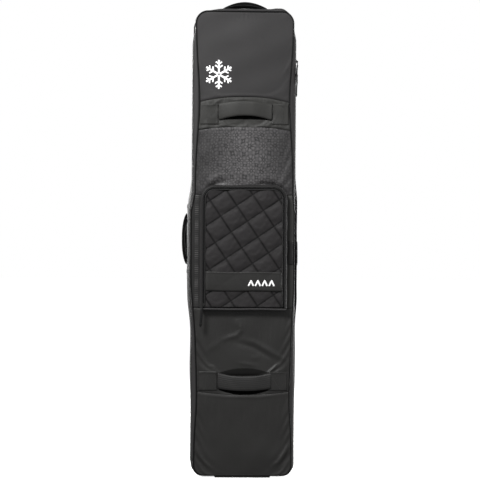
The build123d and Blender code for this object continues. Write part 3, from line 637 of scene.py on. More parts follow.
def front_panel(name, low, high, left=-1.0, right=1.0, pitch=5.2, ease=False):
    """A sheet of the front face between two seams, from one share of the half width to another."""
    width = 175.0 * (right - left)
    height = float(high(np.array([0.0]))[0] - low(np.array([0.0]))[0])
    u = np.linspace(left, right, max(6, int(width / pitch)) + 1)[:, None]
    t = np.linspace(0, 1, max(6, int(height / pitch)) + 1)[None, :]
    if ease:
        t = t + 0.1 * np.sin(2 * math.pi * t) / (2 * math.pi)
    z = low(u) + (high(u) - low(u)) * t
    ends = [end * 175.0 if abs(end) < 1 else end * (front_half(z) + bulge(end, z)) for end in (left, right)]
    share = (u - left) / (right - left)
    x = ends[0] + (ends[1] - ends[0]) * share + 0 * z
    return grid(name, np.stack([x, front_y(x, z), z], axis=2), u=u[:, 0] * 175.0, v=t[0] * height)


def points_of(piece):
    co = np.empty(len(piece.data.vertices) * 3)
    piece.data.vertices.foreach_get("co", co)
    return co.reshape(-1, 3) / MM


def place_points(piece, points):
    piece.data.vertices.foreach_set("co", (points * MM).ravel())
    piece.data.update()


def border_of(piece):
    """Which vertices lie on an open sheet's border."""
    shape = bmesh.new()
    shape.from_mesh(piece.data)
    found = np.array([v.is_boundary for v in shape.verts])
    shape.free()
    return found


def drape(piece, held, pressure, grow, cap, frames=20, gravity=1.0):
    """Simulates a sheet as cloth with some vertices held, and keeps every move within cap millimetres."""
    scene = bpy.context.scene
    rest = points_of(piece)
    group = piece.vertex_groups.new(name="held")
    group.add([int(i) for i in np.nonzero(held)[0]], 1.0, "REPLACE")
    cloth = piece.modifiers.new("Cloth", "CLOTH")
    settings = cloth.settings
    settings.quality = 4
    settings.mass = 0.25
    settings.tension_stiffness = settings.compression_stiffness = 12.0
    settings.shear_stiffness = 4.0
    settings.bending_stiffness = 0.6
    settings.vertex_group_mass = "held"
    settings.shrink_min = -grow
    settings.use_pressure = pressure != 0
    settings.uniform_pressure_force = pressure
    settings.effector_weights.gravity = gravity
    cloth.collision_settings.use_collision = False
    cloth.point_cache.frame_start = 1
    cloth.point_cache.frame_end = frames
    for step in range(1, frames + 1):
        scene.frame_set(step)
    settle_mesh(piece)
    piece.vertex_groups.clear()
    scene.frame_set(1)
    move = points_of(piece) - rest
    size = np.linalg.norm(move, axis=1, keepdims=True)
    place_points(piece, rest + move * np.minimum(1.0, cap / np.maximum(size, 1e-9)))
    return piece


def subdivide(piece, levels=1):
    finer = piece.modifiers.new("Subdivision", "SUBSURF")
    finer.levels = finer.render_levels = levels
    finer.boundary_smooth = "PRESERVE_CORNERS"
    return settle_mesh(piece)


def raise_by(piece, amount):
    """Moves a front piece's vertices towards -Y by amount(x, z) millimetres."""
    points = points_of(piece)
    points[:, 1] -= amount(points[:, 0], points[:, 2])
    place_points(piece, points)
    return piece


# Creases of the front: line as (x, z) points, width, and height, which is negative for a furrow
CREASES = [
    ([(-78, 490), (-45, 503), (-24, 508), (-8, 526), (-4, 560)], 9.0, 2.8),
    ([(-24, 570), (-20, 548), (-12, 530)], 9.0, 2.0),
    ([(4, 492), (40, 484), (63, 471), (105, 447), (158, 418)], 10.0, 2.6),
    ([(-30, 484), (0, 478), (40, 466), (63, 452), (110, 424)], 10.0, -2.6),
    ([(-130, 452), (-105, 470), (-78, 484)], 12.0, 1.2),
    ([(92, 378), (108, 392), (124, 408)], 4.0, 3.6),
    ([(100, 374), (116, 384), (130, 398)], 4.0, -1.6),
    ([(-96, 380), (-104, 396), (-122, 402)], 5.0, 1.8),
    ([(-20, 412), (18, 406), (52, 400)], 7.0, 1.4),
    ([(24, 430), (44, 428), (60, 436)], 9.0, 1.2),
    ([(-152, 296), (-70, 288), (60, 287), (150, 300)], 5.0, 0.9),
    ([(-172, 118), (-158, 82), (-138, 56), (-112, 34)], 7.0, 3.8),
    ([(-170, 92), (-150, 60), (-128, 38)], 6.0, -1.6),
    ([(-150, 120), (-128, 84), (-96, 50)], 12.0, 1.5),
    ([(166, 128), (150, 92), (128, 58), (104, 40)], 7.0, 3.8),
    ([(168, 98), (152, 66), (134, 44)], 6.0, -1.6),
    ([(140, 134), (122, 92), (92, 58)], 12.0, 1.3),
    ([(-150, 1338), (-118, 1330), (-96, 1344)], 6.0, 2.0),
    ([(-128, 1350), (-108, 1336), (-84, 1352)], 5.0, 1.8),
    ([(-60, 1356), (-40, 1348), (0, 1352), (30, 1350)], 4.0, 1.6),
    ([(104, 1350), (120, 1338), (152, 1330)], 6.0, 1.8),
    ([(96, 1346), (112, 1340), (136, 1322)], 5.0, -1.4),
    ([(-92, 1272), (-60, 1264), (-20, 1268)], 5.0, 1.4),
    ([(96, 1270), (60, 1262), (24, 1268)], 5.0, 1.2),
    ([(-140, 1300), (-120, 1284), (-100, 1290)], 6.0, 1.0),
    ([(-136, 1020), (-116, 1039), (-94, 1052), (-60, 1058)], 9.0, -6.5),
    ([(-134, 1046), (-118, 1064), (-96, 1077), (-60, 1080)], 9.0, 1.6),
    ([(34, 1040), (66, 1049), (106, 1045), (138, 1026), (166, 1006)], 9.5, -9.0),
    ([(40, 1068), (72, 1075), (112, 1069), (146, 1048), (168, 1030)], 10.0, 1.6),
    ([(-90, 1284), (-50, 1291), (0, 1293), (50, 1291), (96, 1282)], 7.0, -3.6),
    ([(-86, 372), (-44, 366), (0, 364), (44, 366), (86, 374)], 6.0, -2.6),
    ([(-84, 312), (-40, 306), (0, 304), (40, 306), (84, 314)], 5.0, -2.2),
]


def creases(x, z):
    """The front's named creases added up."""
    total = np.zeros_like(x)
    for line, width, height in CREASES:
        total += height * along(x, z, line, width)
    return total


def rumple(amount, scale, seed):
    """Creases with a soft random unevenness on top, which fades out at the piping."""

    def lift(x, z):
        inside = smooth_step((piping_half(z) + bulge(x, z) - np.abs(x)) / 16)
        return creases(x, z) * inside + ripple(x, z, scale, seed) * amount * inside

    return lift


def tuck_seam(low, high, depth=1.3, width=4.0):
    """How far a panel sinks next to its two seams."""

    def lift(x, z):
        u = share_across(x, z)
        return -depth * (bell(z, low(u), width) + bell(z, high(u), width))

    return lift


# How slack each simulated panel is: extra cloth, largest move in mm, and share of gravity
SLACK = {
    "front_upper": (0.001, 0.7, 0.5),
    "front_handle_band": (0.02, 4.5, 1.0),
    "front_embossed": (0.003, 1.6, 0.8),
    "front_lower": (0.006, 2.2, 1.0),
    "front_bottom": (0.006, 2.6, 1.0),
}


def make_front():
    """The lid's front panels: the slack ones simulated between their own seams, and each of them then creased."""
    edge = 152.0 / 175.0
    tabs = [(-127, 1307, 32, 30), (133, 1307, 32, 30), (-117, 348, 22, 30), (117, 348, 22, 30)]
    jobs = [
        ("front_upper", band_high, level(PIPE_TOP), -1, 1, MAIN, "fabric_main", ["lid_upper_panel"], 0.9, 130),
        ("front_handle_band", band_low, band_high, -1, 1, BAND, "fabric_main", ["lid_handle_band"], 0.7, 60),
        ("front_embossed", level(1010.0), band_low, -1, 1, EMBOSS, "fabric_emboss", ["lid_embossed_panel"], 0.8, 90),
        ("front_left_strip", level(606.0), level(1010.0), -1, -edge, STRIP, "fabric_emboss", [], 0.4, 50),
        # The right strip takes the lighter band fabric as painted light, brightening it where the pocket's shadow
        # falls.
        ("front_right_strip", level(606.0), level(1010.0), edge, 1, BAND, "fabric_emboss", [], 0.4, 50),
        ("front_pocket_back", level(606.0), level(1010.0), -edge, edge, LINING, "lining", ["lid_pocket_back"], 0.3, 90),
        ("front_lower", bottom_seam, level(606.0), -1, 1, LOWER, "fabric_main", ["lid_lower_panel"], 1.0, 110),
        ("front_bottom", level(PIPE_LOW), bottom_seam, -1, 1, LOWER, "fabric_main", ["lid_bottom_panel"], 0.9, 120),
    ]
    made = []
    for index, (name, low, high, left, right, material, slot, nodes, rough, scale) in enumerate(jobs):
        sheet = front_panel(name, low, high, left, right, ease=name == "front_upper")
        points = points_of(sheet)
        held = border_of(sheet)
        for x, z, half_x, half_z in tabs:
            held |= (np.abs(points[:, 0] - x) < half_x) & (np.abs(points[:, 2] - z) < half_z)
        if name in SLACK:
            grow, cap, pull = SLACK[name]
            drape(sheet, held, pressure=0.15, grow=grow, cap=cap, gravity=pull)
        subdivide(sheet)
        raise_by(sheet, rumple(rough, scale, 20 + index))
        raise_by(sheet, tuck_seam(low, high))
        thicken(sheet, 1.6)
        finish_piece(sheet, material, "lid", slot, *nodes)
        made.append(sheet)
    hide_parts("lid_side_strips")
    return made


# ------------------------------------------------------------------ outlines round the bag


def round_outline(half, top, low, radius_top, radius_low, count=138):
    """A rounded outline as (x, z) points and its outward normals, from the left foot up, over and down."""
    heights = np.linspace(low + radius_low, top - radius_top, count)
    arc = np.linspace(0, math.pi / 2, 13)[1:-1]
    across = np.linspace(-1, 1, 41)

    def corner(cx, cz, radius, start):
        angle = start - arc
        unit = np.stack([np.cos(angle), np.sin(angle)], axis=1)
        return np.array([cx, cz]) + radius * unit, unit

    widths = np.broadcast_to(half(heights), heights.shape)
    w_top, w_low = widths[-1], widths[0]
    parts = [(np.stack([-widths, heights], 1), np.tile([-1.0, 0.0], (len(heights), 1)))]
    parts.append(corner(-(w_top - radius_top), top - radius_top, radius_top, math.pi))
    run = across * (w_top - radius_top)
    parts.append((np.stack([run, np.full_like(run, top)], 1), np.tile([0.0, 1.0], (len(run), 1))))
    parts.append(corner(w_top - radius_top, top - radius_top, radius_top, math.pi / 2))
    parts.append((np.stack([widths, heights], 1)[::-1], np.tile([1.0, 0.0], (len(heights), 1))))
    parts.append(corner(w_low - radius_low, low + radius_low, radius_low, 0.0))
    run = -across * (w_low - radius_low)
    parts.append((np.stack([run, np.full_like(run, low)], 1), np.tile([0.0, -1.0], (len(run), 1))))
    parts.append(corner(-(w_low - radius_low), low + radius_low, radius_low, -math.pi / 2))
    return np.vstack([p for p, _ in parts]), np.vstack([n for _, n in parts])


def side_half(z):
    """Half the bag's width at mid depth: its sides bulge in the middle and near the bottom."""
    z = np.asarray(z, dtype=float)
    return (
        183.5
        + 9.5 * smooth_step((1090 - z) / 110) * smooth_step((z - 520) / 130)
        + 3.5 * dip(z, 420, 120, 120)
        - 2.0 * dip(z, 1345, 120, 120)
        - 7.0 * smooth_step((z - 1560.0) / 45.0)
    )


def shell_half(z):
    """Half the bag's width at the zip: it draws in under the top corners."""
    return HALF - 0.6 - 7.0 * smooth_step((np.asarray(z, dtype=float) - 1560.0) / 45.0)


SHELL_R = 50.0
PIPE_LINE, PIPE_OUT = round_outline(piping_half, PIPE_TOP, PIPE_LOW, PIPE_R, LOW_R)
PIPE_LINE[:, 0] += np.sign(PIPE_LINE[:, 0]) * bulge(PIPE_LINE[:, 0], PIPE_LINE[:, 1])
RIM_LINE, RIM_OUT = round_outline(shell_half, TOP - 0.6, BOTTOM + 0.6, SHELL_R, 38.0)


def top_drop(x):
    """How far the bag's top falls away from its middle: early on the left, only at the corner on the right."""
    corner = smooth_step((x - 132.0) / 36.0)
    right = 5.0 * corner - 2.6 * smooth_step((x - 90.0) / 24.0) * (1 - corner)
    return np.where(x < 0, 7.0 * smooth_step((-x - 78.0) / 62.0), right)


RIM_LINE[:, 1] -= top_drop(RIM_LINE[:, 0]) * np.clip(RIM_OUT[:, 1], 0, 1)
RIM_LINE[:, 0] -= np.where(RIM_LINE[:, 0] < 0, 6.0, 0.0) * belly(RIM_LINE[:, 1])


def at_depth(line, y):
    """An outline's points in the frame at one depth."""
    return np.stack([line[:, 0], np.full(len(line), float(y)), line[:, 1]], axis=1)


def outward(unit):
    return np.stack([unit[:, 0], np.zeros(len(unit)), unit[:, 1]], axis=1)


def left_side(line):
    """Marks the straight left side, where the lid is sewn to the body and there is no zip."""
    return (line[:, 0] < -150) & (line[:, 1] > 52) & (line[:, 1] < TOP - SHELL_R)


def make_rim():
    """The lid's soft edge, from its piping back to the zip, and the fold of fabric that is its hinge."""
    rows = []
    for share in np.linspace(0, 1, 7):
        turn = share * math.pi / 2
        flat = PIPE_LINE + (RIM_LINE - PIPE_LINE) * math.sin(turn)
        rows.append(at_depth(flat, 0) + [0, FRONT - 0.6 + (RIM_BACK - FRONT + 0.6) * (1 - math.cos(turn)), 0])
    points = np.stack(rows, axis=1)
    wave = ripple(points[:, 3, 2], points[:, 3, 0], 140, 61) * 0.8
    points[:, 1:-1] += outward(RIM_OUT)[:, None, :] * wave[:, None, None] * 0.7
    sag = 4.5 * np.sin(np.linspace(0, math.pi, 7))[None, :] * smooth_step(-RIM_OUT[:, 1])[:, None]
    points[:, :, 2] -= sag
    hinge = left_side(PIPE_LINE)
    first = np.nonzero(hinge)[0]
    order = np.concatenate([np.arange(first[-1], len(PIPE_LINE)), np.arange(0, first[0] + 1)])
    rim = grid("lid_edge", points[order])
    thicken(rim, 1.6)
    finish_piece(rim, MAIN, "lid", "fabric_main", "lid_rim")
    fold = points[hinge]
    fold = fold.copy()
    for column, share in enumerate(np.linspace(0, 1, 7)):
        y = FRONT - 0.6 + (HINGE_Y + 8.4 - FRONT + 0.6) * share**2.0
        fold[:, column, 1] = y
    tail = np.repeat(fold[:, -1:], 3, axis=1) + np.array([[1.4, 3.0, 0], [2.2, 9.0, 0], [2.2, 17.0, 0]])
    fold = np.concatenate([fold, tail], axis=1)[:, ::-1]
    piece = grid("lid_hinge_fold", fold)
    piece.data.flip_normals()
    thicken(piece, 1.4)
    finish_piece(piece, MAIN, "lid", "fabric_main")
    piece.parent = None
    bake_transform(piece)
    return piece


SIDE_HANDLE_Z = (span("side_handle_grip")[0][2] + span("side_handle_grip")[1][2]) / 2


def skin_rows(line, unit, depths):
    """Points of a body skin: an outline at several depths, swelling towards mid depth."""
    rows = []
    for y in depths:
        share = 1 - np.clip(np.abs(y - 12.0) / (92.0 if y < 12.0 else 73.0), 0, 1) ** 5
        swell = (side_half(line[:, 1]) - HALF + 0.6) * share * np.abs(unit[:, 0])
        hollow = smooth_step((116 - np.abs(line[:, 1] - SIDE_HANDLE_Z)) / 30) * smooth_step((44 - abs(y)) / 20)
        swell -= np.where(line[:, 0] < 0, 5.2 * hollow, 0.0)
        swell += ripple(line[:, 1] + line[:, 0], np.full(len(line), y), 170, 71) * 0.9 * share
        flat = line + unit * swell[:, None]
        rows.append(at_depth(flat, y))
    return np.stack(rows, axis=1)


def make_gussets():
    """The body's two sides and its top, which carry the handles."""
    line, unit = RIM_LINE, RIM_OUT
    left = left_side(line) & (line[:, 0] < 0)
    right = (line[:, 0] > 150) & (line[:, 1] > 49) & (line[:, 1] < TOP - SHELL_R + 1)
    over = line[:, 1] > TOP - SHELL_R - 9
    jobs = [
        ("side_left", left, np.linspace(HINGE_Y + 8.4, 85, 30), ["left_gusset"]),
        ("side_right", right, np.linspace(GUSSET_FRONT - 1, 85, 28), ["right_gusset"]),
        ("top_panel", over, np.linspace(GUSSET_FRONT - 1, 85, 28), ["top_gusset"]),
    ]
    made = {}
    for name, chosen, depths, nodes in jobs:
        points = skin_rows(line[chosen], unit[chosen], depths)
        if name != "top_panel":
            low = points[:, :, 2].min()
            points[:, :, 2] = np.where(points[:, :, 2] < low + 1, TRAY_TOP - 1, points[:, :, 2])
        skin = grid(name, points)
        skin.data.flip_normals()
        subdivide(skin)
        thicken(skin, 1.8)
        finish_piece(skin, SHADED_SIDE, "shell", "fabric_main", *nodes)
        made[name] = skin
    return made


def make_back():
    """The back panel, flat behind the rails and softly padded above them."""
    low = TRAY_BACK_TOP - 1
    u = np.linspace(-1, 1, 61)[:, None]
    t = np.linspace(0, 1, 200)[None, :]
    z = low + (TOP - 3.5 - low) * t
    top = np.clip(z - (TOP - SHELL_R), 0, SHELL_R - 4)
    half = HALF - 4 - SHELL_R + 4 + np.sqrt((SHELL_R - 4 + 0.5) ** 2 - top**2)
    x = u * half - 6.0 * belly(z) * smooth_step((-u - 0.85) / 0.15)
    z = z - top_drop(x) * smooth_step((z - 1500.0) / 150.0)
    edge = smooth_step((half - np.abs(x)) / 22)
    pad = 3.4 * smooth_step((z - 830) / 80) * smooth_step((TOP - 20 - z) / 90)
    y = BACK - 4.2 + 4.4 * edge + pad * (1 - (x / half) ** 2)
    y = y + ripple(x, z, 120, 33) * 0.7 * edge * smooth_step((z - 820) / 60)
    channels = [(900, 1.0), (1180, 1.0), (1460, 1.0)]
    for height, depth in channels:
        y = y - depth * 2.0 * bell(z, height, 5)
    points = np.stack([x, y, z], axis=2)
    skin = grid("back_skin", points, u=u[:, 0] * 184, v=t[0] * 1500)
    skin.data.flip_normals()
    thicken(skin, 1.8)
    finish_piece(skin, MAIN, "shell", "fabric_main", "back_panel")
    return skin


def tube_path(name, line, unit, inset, y, radius, close=False, sides=10):
    """A round cord along an outline."""
    centres = at_depth(line - unit * inset, y)
    across = np.tile([0.0, 1.0, 0.0], (len(centres), 1))
    return sweep(name, centres, across, outward(unit), round_section(radius, sides=sides), close)


def ribbon(name, line, unit, y0, y1, lift, thickness, close=False):
    """A flat tape along an outline, between two depths."""
    centres = at_depth(line + unit * (lift + thickness / 2), (y0 + y1) / 2)
    across = np.tile([0.0, 1.0, 0.0], (len(centres), 1))
    return sweep(name, centres, across, outward(unit), flat_section(y1 - y0, thickness, cells=4), close)


def blocks(name, centres, axes, sizes, bevel=0.7):
    """Many small bevelled blocks as one mesh. axes holds three unit vectors per block."""
    corner = np.array([[a, b, c] for c in (-1, 1) for b in (-1, 1) for a in (-1, 1)], dtype=float)
    shape = corner.copy()
    shape[4:, :2] *= bevel
    local = shape * (np.asarray(sizes, dtype=float) / 2)
    points = centres[:, None, :] + np.einsum("kc,ncd->nkd", local, axes)
    quads = np.array(
        [[0, 2, 3, 1], [4, 5, 7, 6], [0, 1, 5, 4], [1, 3, 7, 5], [3, 2, 6, 7], [2, 0, 4, 6]]
    )
    faces = (quads[None] + 8 * np.arange(len(centres))[:, None, None]).reshape(-1, 4)
    uvs = np.tile([[0, 0], [1, 0], [1, 1], [0, 1]], (len(faces), 1)).astype(float)
    piece = collect(name, points.reshape(-1, 3), faces.tolist(), uvs)
    piece.data.polygons.foreach_set("use_smooth", [False] * len(piece.data.polygons))
    return face_outwards(piece)


def along_outline(line, unit, pitch):
    """An outline's points and normals at an even pitch, with the direction of travel."""
    full = np.hstack([line, unit])
    run = np.concatenate([[0], np.cumsum(np.linalg.norm(np.diff(line, axis=0), axis=1))])
    at = np.arange(pitch / 2, run[-1], pitch)
    got = np.stack([np.interp(at, run, full[:, k]) for k in range(4)], axis=1)
    normal = got[:, 2:] / np.linalg.norm(got[:, 2:], axis=1, keepdims=True)
    return got[:, :2], normal


def zip_teeth(name, line, unit, side_of, lift, pitch=2.6):
    """One side of a zip's teeth along an outline. side_of gives their centres' (inset, depth) and size."""
    spots, normal = along_outline(line, unit, pitch)
    centre, size, flat = side_of
    out = outward(normal)
    travel = np.cross(out, [0.0, 1.0, 0.0])
    deep = np.tile([0.0, 1.0, 0.0], (len(out), 1))
    if flat:
        places = at_depth(spots - normal * centre[0], centre[1] - lift)
        axes = np.stack([travel, out, -deep], axis=1)
    else:
        places = at_depth(spots + normal * (lift + centre[0]), centre[1])
        axes = np.stack([travel, deep, out], axis=1)
    return blocks(name, places, axes, size)


def zip_route():
    """The part of the rim outline that the main zip follows: over the top, down the right and under."""
    start = np.nonzero(left_side(RIM_LINE))[0][-1] + 1
    return RIM_LINE[start:], RIM_OUT[start:]


def make_main_zip():
    """The main zip's tapes and teeth, half on the lid and half on the body."""
    line, unit = zip_route()
    for body, node, tape_y, teeth_y in (
        ("lid", "main_zip_lid_half", (RIM_BACK, -73.4), -74.0),
        ("shell", "main_zip_shell_half", (-71.4, GUSSET_FRONT), -70.8),
    ):
        tape = ribbon(f"{body}_zip_tape", line, unit, *tape_y, -0.6, 1.2)
        finish_piece(tape, TAPE, body, "zip_tape", node)
        teeth = zip_teeth(f"{body}_zip_teeth", line, unit, ((0.0, teeth_y), (1.6, 2.6, 1.5), False), 1.1)
        finish_piece(teeth, COIL, body, "zip_tape")


def make_pipings():
    """The corded seams round the lid's face and round the back."""
    cord = tube_path("front_piping", PIPE_LINE, PIPE_OUT, 0.4, FRONT - 1.2, 2.5, close=True)
    finish_piece(cord, PIPING, "lid", "piping", "lid_piping")
    body = RIM_LINE[:, 1] > TRAY_BACK_TOP - 6
    order = np.nonzero(body)[0]
    cord = tube_path("back_piping", RIM_LINE[order], RIM_OUT[order], 2.2, 86.8, 2.6)
    finish_piece(cord, PIPING, "shell", "piping")


# ------------------------------------------------------------------ the front pocket

CELL_STEPS = 14


def pocket_outline(inset, low):
    """The pocket's outline as a U: up the left side, over and down the right, with outward normals."""
    half, top, radius = POCKET_HALF - inset, POCKET_TOP - inset, POCKET_CORNER - inset
    line, unit = round_outline(lambda z: np.full_like(z, half), top, low - 60, radius, 10.0, 60)
    keep = line[:, 1] >= low - 60 + 10
    line, unit = line[keep], unit[keep]
    side = line[:, 1] < top - radius
    heights = line[side, 1]
    line[side, 1] = np.interp(heights, [heights.min(), heights.max()], [low, heights.max()])
    return line, unit


def make_pocket_wall():
    """The pocket's gusset, which turns over softly at its front into the zip's tape."""
    profile = [(0.4, -88.6), (-0.8, -95), (-1.2, -101), (-0.8, -106), (0.2, -110.2), (1.8, -113.0), (4.4, -114.4)]
    profile += [(7.0, -114.9), (8.2, -113.6)]
    line, unit = pocket_outline(0.0, POCKET_LOW[2] + 0.5)
    wave = ripple(line[:, 1] * 1.0, line[:, 0], 90, 81)[:, None]
    points = np.stack([at_depth(line - unit * inset, y) for inset, y in profile], axis=1)
    swell = np.array([0, 0.8, 1.0, 0.8, 0.4, 0.1, 0, 0, 0])[None, :]
    points += outward(unit)[:, None, :] * (wave * swell * 1.1)[:, :, None]
    wall = grid("pocket_side", points)
    wall.data.flip_normals()
    subdivide(wall)
    thicken(wall, 1.4)
    finish_piece(wall, SHADED_WALL, "lid", "fabric_quilt", "pocket_wall")
    make_pocket_floor()
    return wall


def make_pocket_floor():
    """The pocket's underside, sewn to the lower panel, and the bound hem above the panel."""
    x = np.linspace(-POCKET_HALF + 1, POCKET_HALF - 1, 60)[:, None]
    t = np.linspace(0, 1, 6)[None, :]
    y = -90.0 - 21.0 * t + 0 * x
    z = POCKET_LOW[2] - 0.5 - 3.0 * np.sin(t * math.pi) + 0 * x
    floor = grid("pocket_floor", np.stack([x + 0 * t, y, z], axis=2))
    thicken(floor, 1.4)
    finish_piece(floor, LOWER, "lid", "fabric_main")
    xs = np.linspace(-POCKET_HALF + 1, POCKET_HALF - 1, 90)
    centres = np.stack([xs, np.full_like(xs, -112.5), POCKET_LOW[2] - 3.2 + 0.5 * np.sin(xs / 31)], axis=1)
    across = np.tile([0.0, 1.0, 0.0], (len(xs), 1))
    up = np.tile([0.0, 0.0, 1.0], (len(xs), 1))
    hem = sweep("pocket_hem", centres, across, up, round_section(4.2, 4.0, 12))
    finish_piece(hem, MAIN, "lid", "fabric_main")


def flap_planes():
    """The flap outline as cutting planes: points on it and outward directions, as (x, z) pairs."""
    half, top, low = FLAP_HIGH[0] - 1.6, FLAP_HIGH[2] - 1.0, FLAP_LOW[2]
    radius = POCKET_CORNER - (POCKET_HALF - half)
    planes = [((-half, 800), (-1, 0)), ((half, 800), (1, 0)), ((0, top), (0, 1)), ((0, low), (0, -1))]
    for side in (-1, 1):
        for angle in np.linspace(0, math.pi / 2, 9)[1:-1]:
            unit = (side * math.cos(angle), math.sin(angle))
            spot = (side * (half - radius) + radius * unit[0], top - radius + radius * unit[1])
            planes.append((spot, unit))
    return planes


def make_quilt():
    """The quilted flap: a sheet laid out on the quilting's own lattice, held on its seams and blown up."""
    steps = 8 * CELL_STEPS
    p = np.linspace(-5, 6, 11 * CELL_STEPS + 1)[:, None]
    q = np.linspace(-5, 9, 14 * CELL_STEPS + 1)[None, :]
    x = LATTICE_O[0] + p * LATTICE_A[0] + q * LATTICE_B[0]
    z = LATTICE_O[1] + p * LATTICE_A[1] + q * LATTICE_B[1]
    keep_y = np.full_like(x, -114.2)
    sheet = grid("flap_quilt", np.stack([x, keep_y, z], axis=2), u=p[:, 0] * 69, v=q[0] * 67.7)
    sheet.data.flip_normals()
    shape = bmesh.new()
    shape.from_mesh(sheet.data)
    for (px, pz), (nx, nz) in flap_planes():
        everything = shape.verts[:] + shape.edges[:] + shape.faces[:]
        bmesh.ops.bisect_plane(
            shape,
            geom=everything,
            dist=0.0002,
            plane_co=(px * MM, 0, pz * MM),
            plane_no=(nx, 0, nz),
            clear_outer=True,
        )
    shape.to_mesh(sheet.data)
    shape.free()
    if sheet.data.polygons[0].normal.y > 0:
        sheet.data.flip_normals()
    p, q = lattice_place(points_of(sheet))
    near = np.minimum(np.abs(p - np.round(p)), np.abs(q - np.round(q)))
    held = (near < 0.012) | border_of(sheet)
    raise_by(sheet, lambda x, z: pillow(x, z))
    drape(sheet, held, pressure=0.5, grow=0.003, cap=0.8, frames=16, gravity=0.6)
    subdivide(sheet)
    raise_by(sheet, lambda x, z: -1.5 * seam_nearness(x, z) + 0.35 * ripple(x, z, 24, 5))
    thicken(sheet, 2.0)
    finish_piece(sheet, QUILT, "pocket_flap", "fabric_quilt", "flap_quilted_panel")
    return sheet


def lattice_place(points):
    """Where points lie on the quilting lattice, in cells."""
    a, b = LATTICE_A, LATTICE_B
    det = a[0] * b[1] - a[1] * b[0]
    dx, dz = points[:, 0] - LATTICE_O[0], points[:, 2] - LATTICE_O[1]
    return (dx * b[1] - dz * b[0]) / det, (dz * a[0] - dx * a[1]) / det


def pillow(x, z):
    """A quilted cell's height: it rises steeply under its upper seam and falls slowly to its lower one."""
    p, q = lattice_place(np.stack([x, 0 * x, z], axis=1))
    beside = np.abs(p - np.round(p)) * 69.0
    under = (q - np.floor(q)) * 67.7
    rise = (1 - np.exp(-((under / 12.0) ** 2))) * (1 - np.exp(-(((67.7 - under) / 20.0) ** 2)))
    flat = 0.5 + 0.5 * smooth_step((z - 660.0) / 50.0)
    return 4.0 * flat * rise * (1 - 0.66 * np.exp(-((beside / 8.0) ** 2)))


def seam_nearness(x, z):
    """How near points lie to a quilting seam: 1 on it and 0 from about 2 mm away."""
    p, q = lattice_place(np.stack([x, 0 * x, z], axis=1))
    near = np.minimum(np.abs(p - np.round(p)) * 69, np.abs(q - np.round(q)) * 67.7)
    return np.exp(-((near / 2.2) ** 2))


def make_flap_band():
    """The plain band across the flap, folded over along its top edge."""
    low, high = span("flap_plain_band")
    u = np.linspace(-1, 1, 91)[:, None]
    profile = np.array(
        [[0, -113.4], [0.5, -118.6], [4, -120.2], [22, -120.9], [45, -121.0], [60, -121.0], [64.6, -121.6]]
        + [[67.4, -121.0], [68.2, -119.0], [67.6, -115.2]]
    )
    run = np.linspace(0, 1, 34)
    at = np.linspace(0, 1, len(profile))
    rise = np.interp(run, at, profile[:, 0])[None, :] + low[2]
    deep = np.interp(run, at, profile[:, 1])[None, :]
    x = u * (high[0] + 1.2) + 0 * rise
    soft = smooth_step((1 - np.abs(u)) / 0.06)
    p, q = lattice_place(np.stack([x.ravel(), 0 * x.ravel(), (rise + 0 * x).ravel()], axis=1))
    relief = (np.abs(np.sin(p * math.pi)) * np.abs(np.sin(q * math.pi))) ** 0.6
    y = deep + 1.1 * (1 - soft) - 1.0 * relief.reshape(x.shape) * soft + 0.5
    band = grid("flap_band", np.stack([x, y, rise + 0 * x + 0.8 * np.sin(u * 5.1)], axis=2))
    subdivide(band)
    thicken(band, 1.2)
    finish_piece(band, LOWER, "pocket_flap", "fabric_main", "flap_plain_band")
    return band


def make_pocket_zip():
    """The pocket zip: tapes, teeth and the flap's corded edge."""
    line, unit = pocket_outline(6.8, POCKET_LOW[2] + 6)
    tape = pocket_tape("pocket_zip_tape", line, unit, 4.4, -113.0)
    finish_piece(tape, TAPE, "lid", "zip_tape", "pocket_zip_outer_half")
    line, unit = pocket_outline(10.0, POCKET_LOW[2] + 6)
    teeth = zip_teeth("pocket_zip_teeth", line, unit, ((0.0, -113.2), (1.4, 2.2, 1.5), True), 0.5, 2.4)
    finish_piece(teeth, COIL, "lid", "zip_tape")
    line, unit = pocket_outline(15.3, FLAP_LOW[2] + 21)
    tape = pocket_tape("flap_zip_tape", line, unit, 1.4, -113.0)
    finish_piece(tape, TAPE, "pocket_flap", "zip_tape", "pocket_zip_inner_half")
    line, unit = pocket_outline(12.9, FLAP_LOW[2] + 21)
    teeth = zip_teeth("flap_zip_teeth", line, unit, ((0.0, -113.2), (1.4, 2.0, 1.5), True), 0.5, 2.4)
    finish_piece(teeth, COIL, "pocket_flap", "zip_tape")
    line, unit = pocket_outline(16.4, FLAP_LOW[2])
    cord = tube_path("flap_piping_cord", line, unit, 0.0, -115.8, 2.4)
    finish_piece(cord, SHADED_WALL, "pocket_flap", "piping", "flap_piping")


def pocket_tape(name, line, unit, half_width, y):
    """A flat tape facing the front along the pocket's outline."""
    centres = at_depth(line, y)
    facing = np.tile([0.0, -1.0, 0.0], (len(centres), 1))
    return sweep(name, centres, outward(unit), facing, flat_section(2 * half_width, 1.1, cells=4))


# ------------------------------------------------------------------ straps and handles


def strap(name, centres, wide, thickness, width_of=None, crown=0.0, section=None):
    """A flat strap along a line of points. wide is the direction of its width at each point."""
    travel = tangents(centres)
    wide = np.broadcast_to(np.asarray(wide, dtype=float), centres.shape)
    facing = np.cross(travel, wide)
    facing /= np.linalg.norm(facing, axis=1, keepdims=True)
    wide = np.cross(facing, travel)
    if section is None:
        section = flat_section(1.0, 1.0, crown / thickness)
    sections = np.repeat(section[None], len(centres), axis=0).copy()
    widths = np.ones(len(centres)) if width_of is None else width_of
    sections[:, :, 0] *= widths[:, None]
    sections[:, :, 1] *= thickness
    return sweep(name, centres, wide, facing, sections)


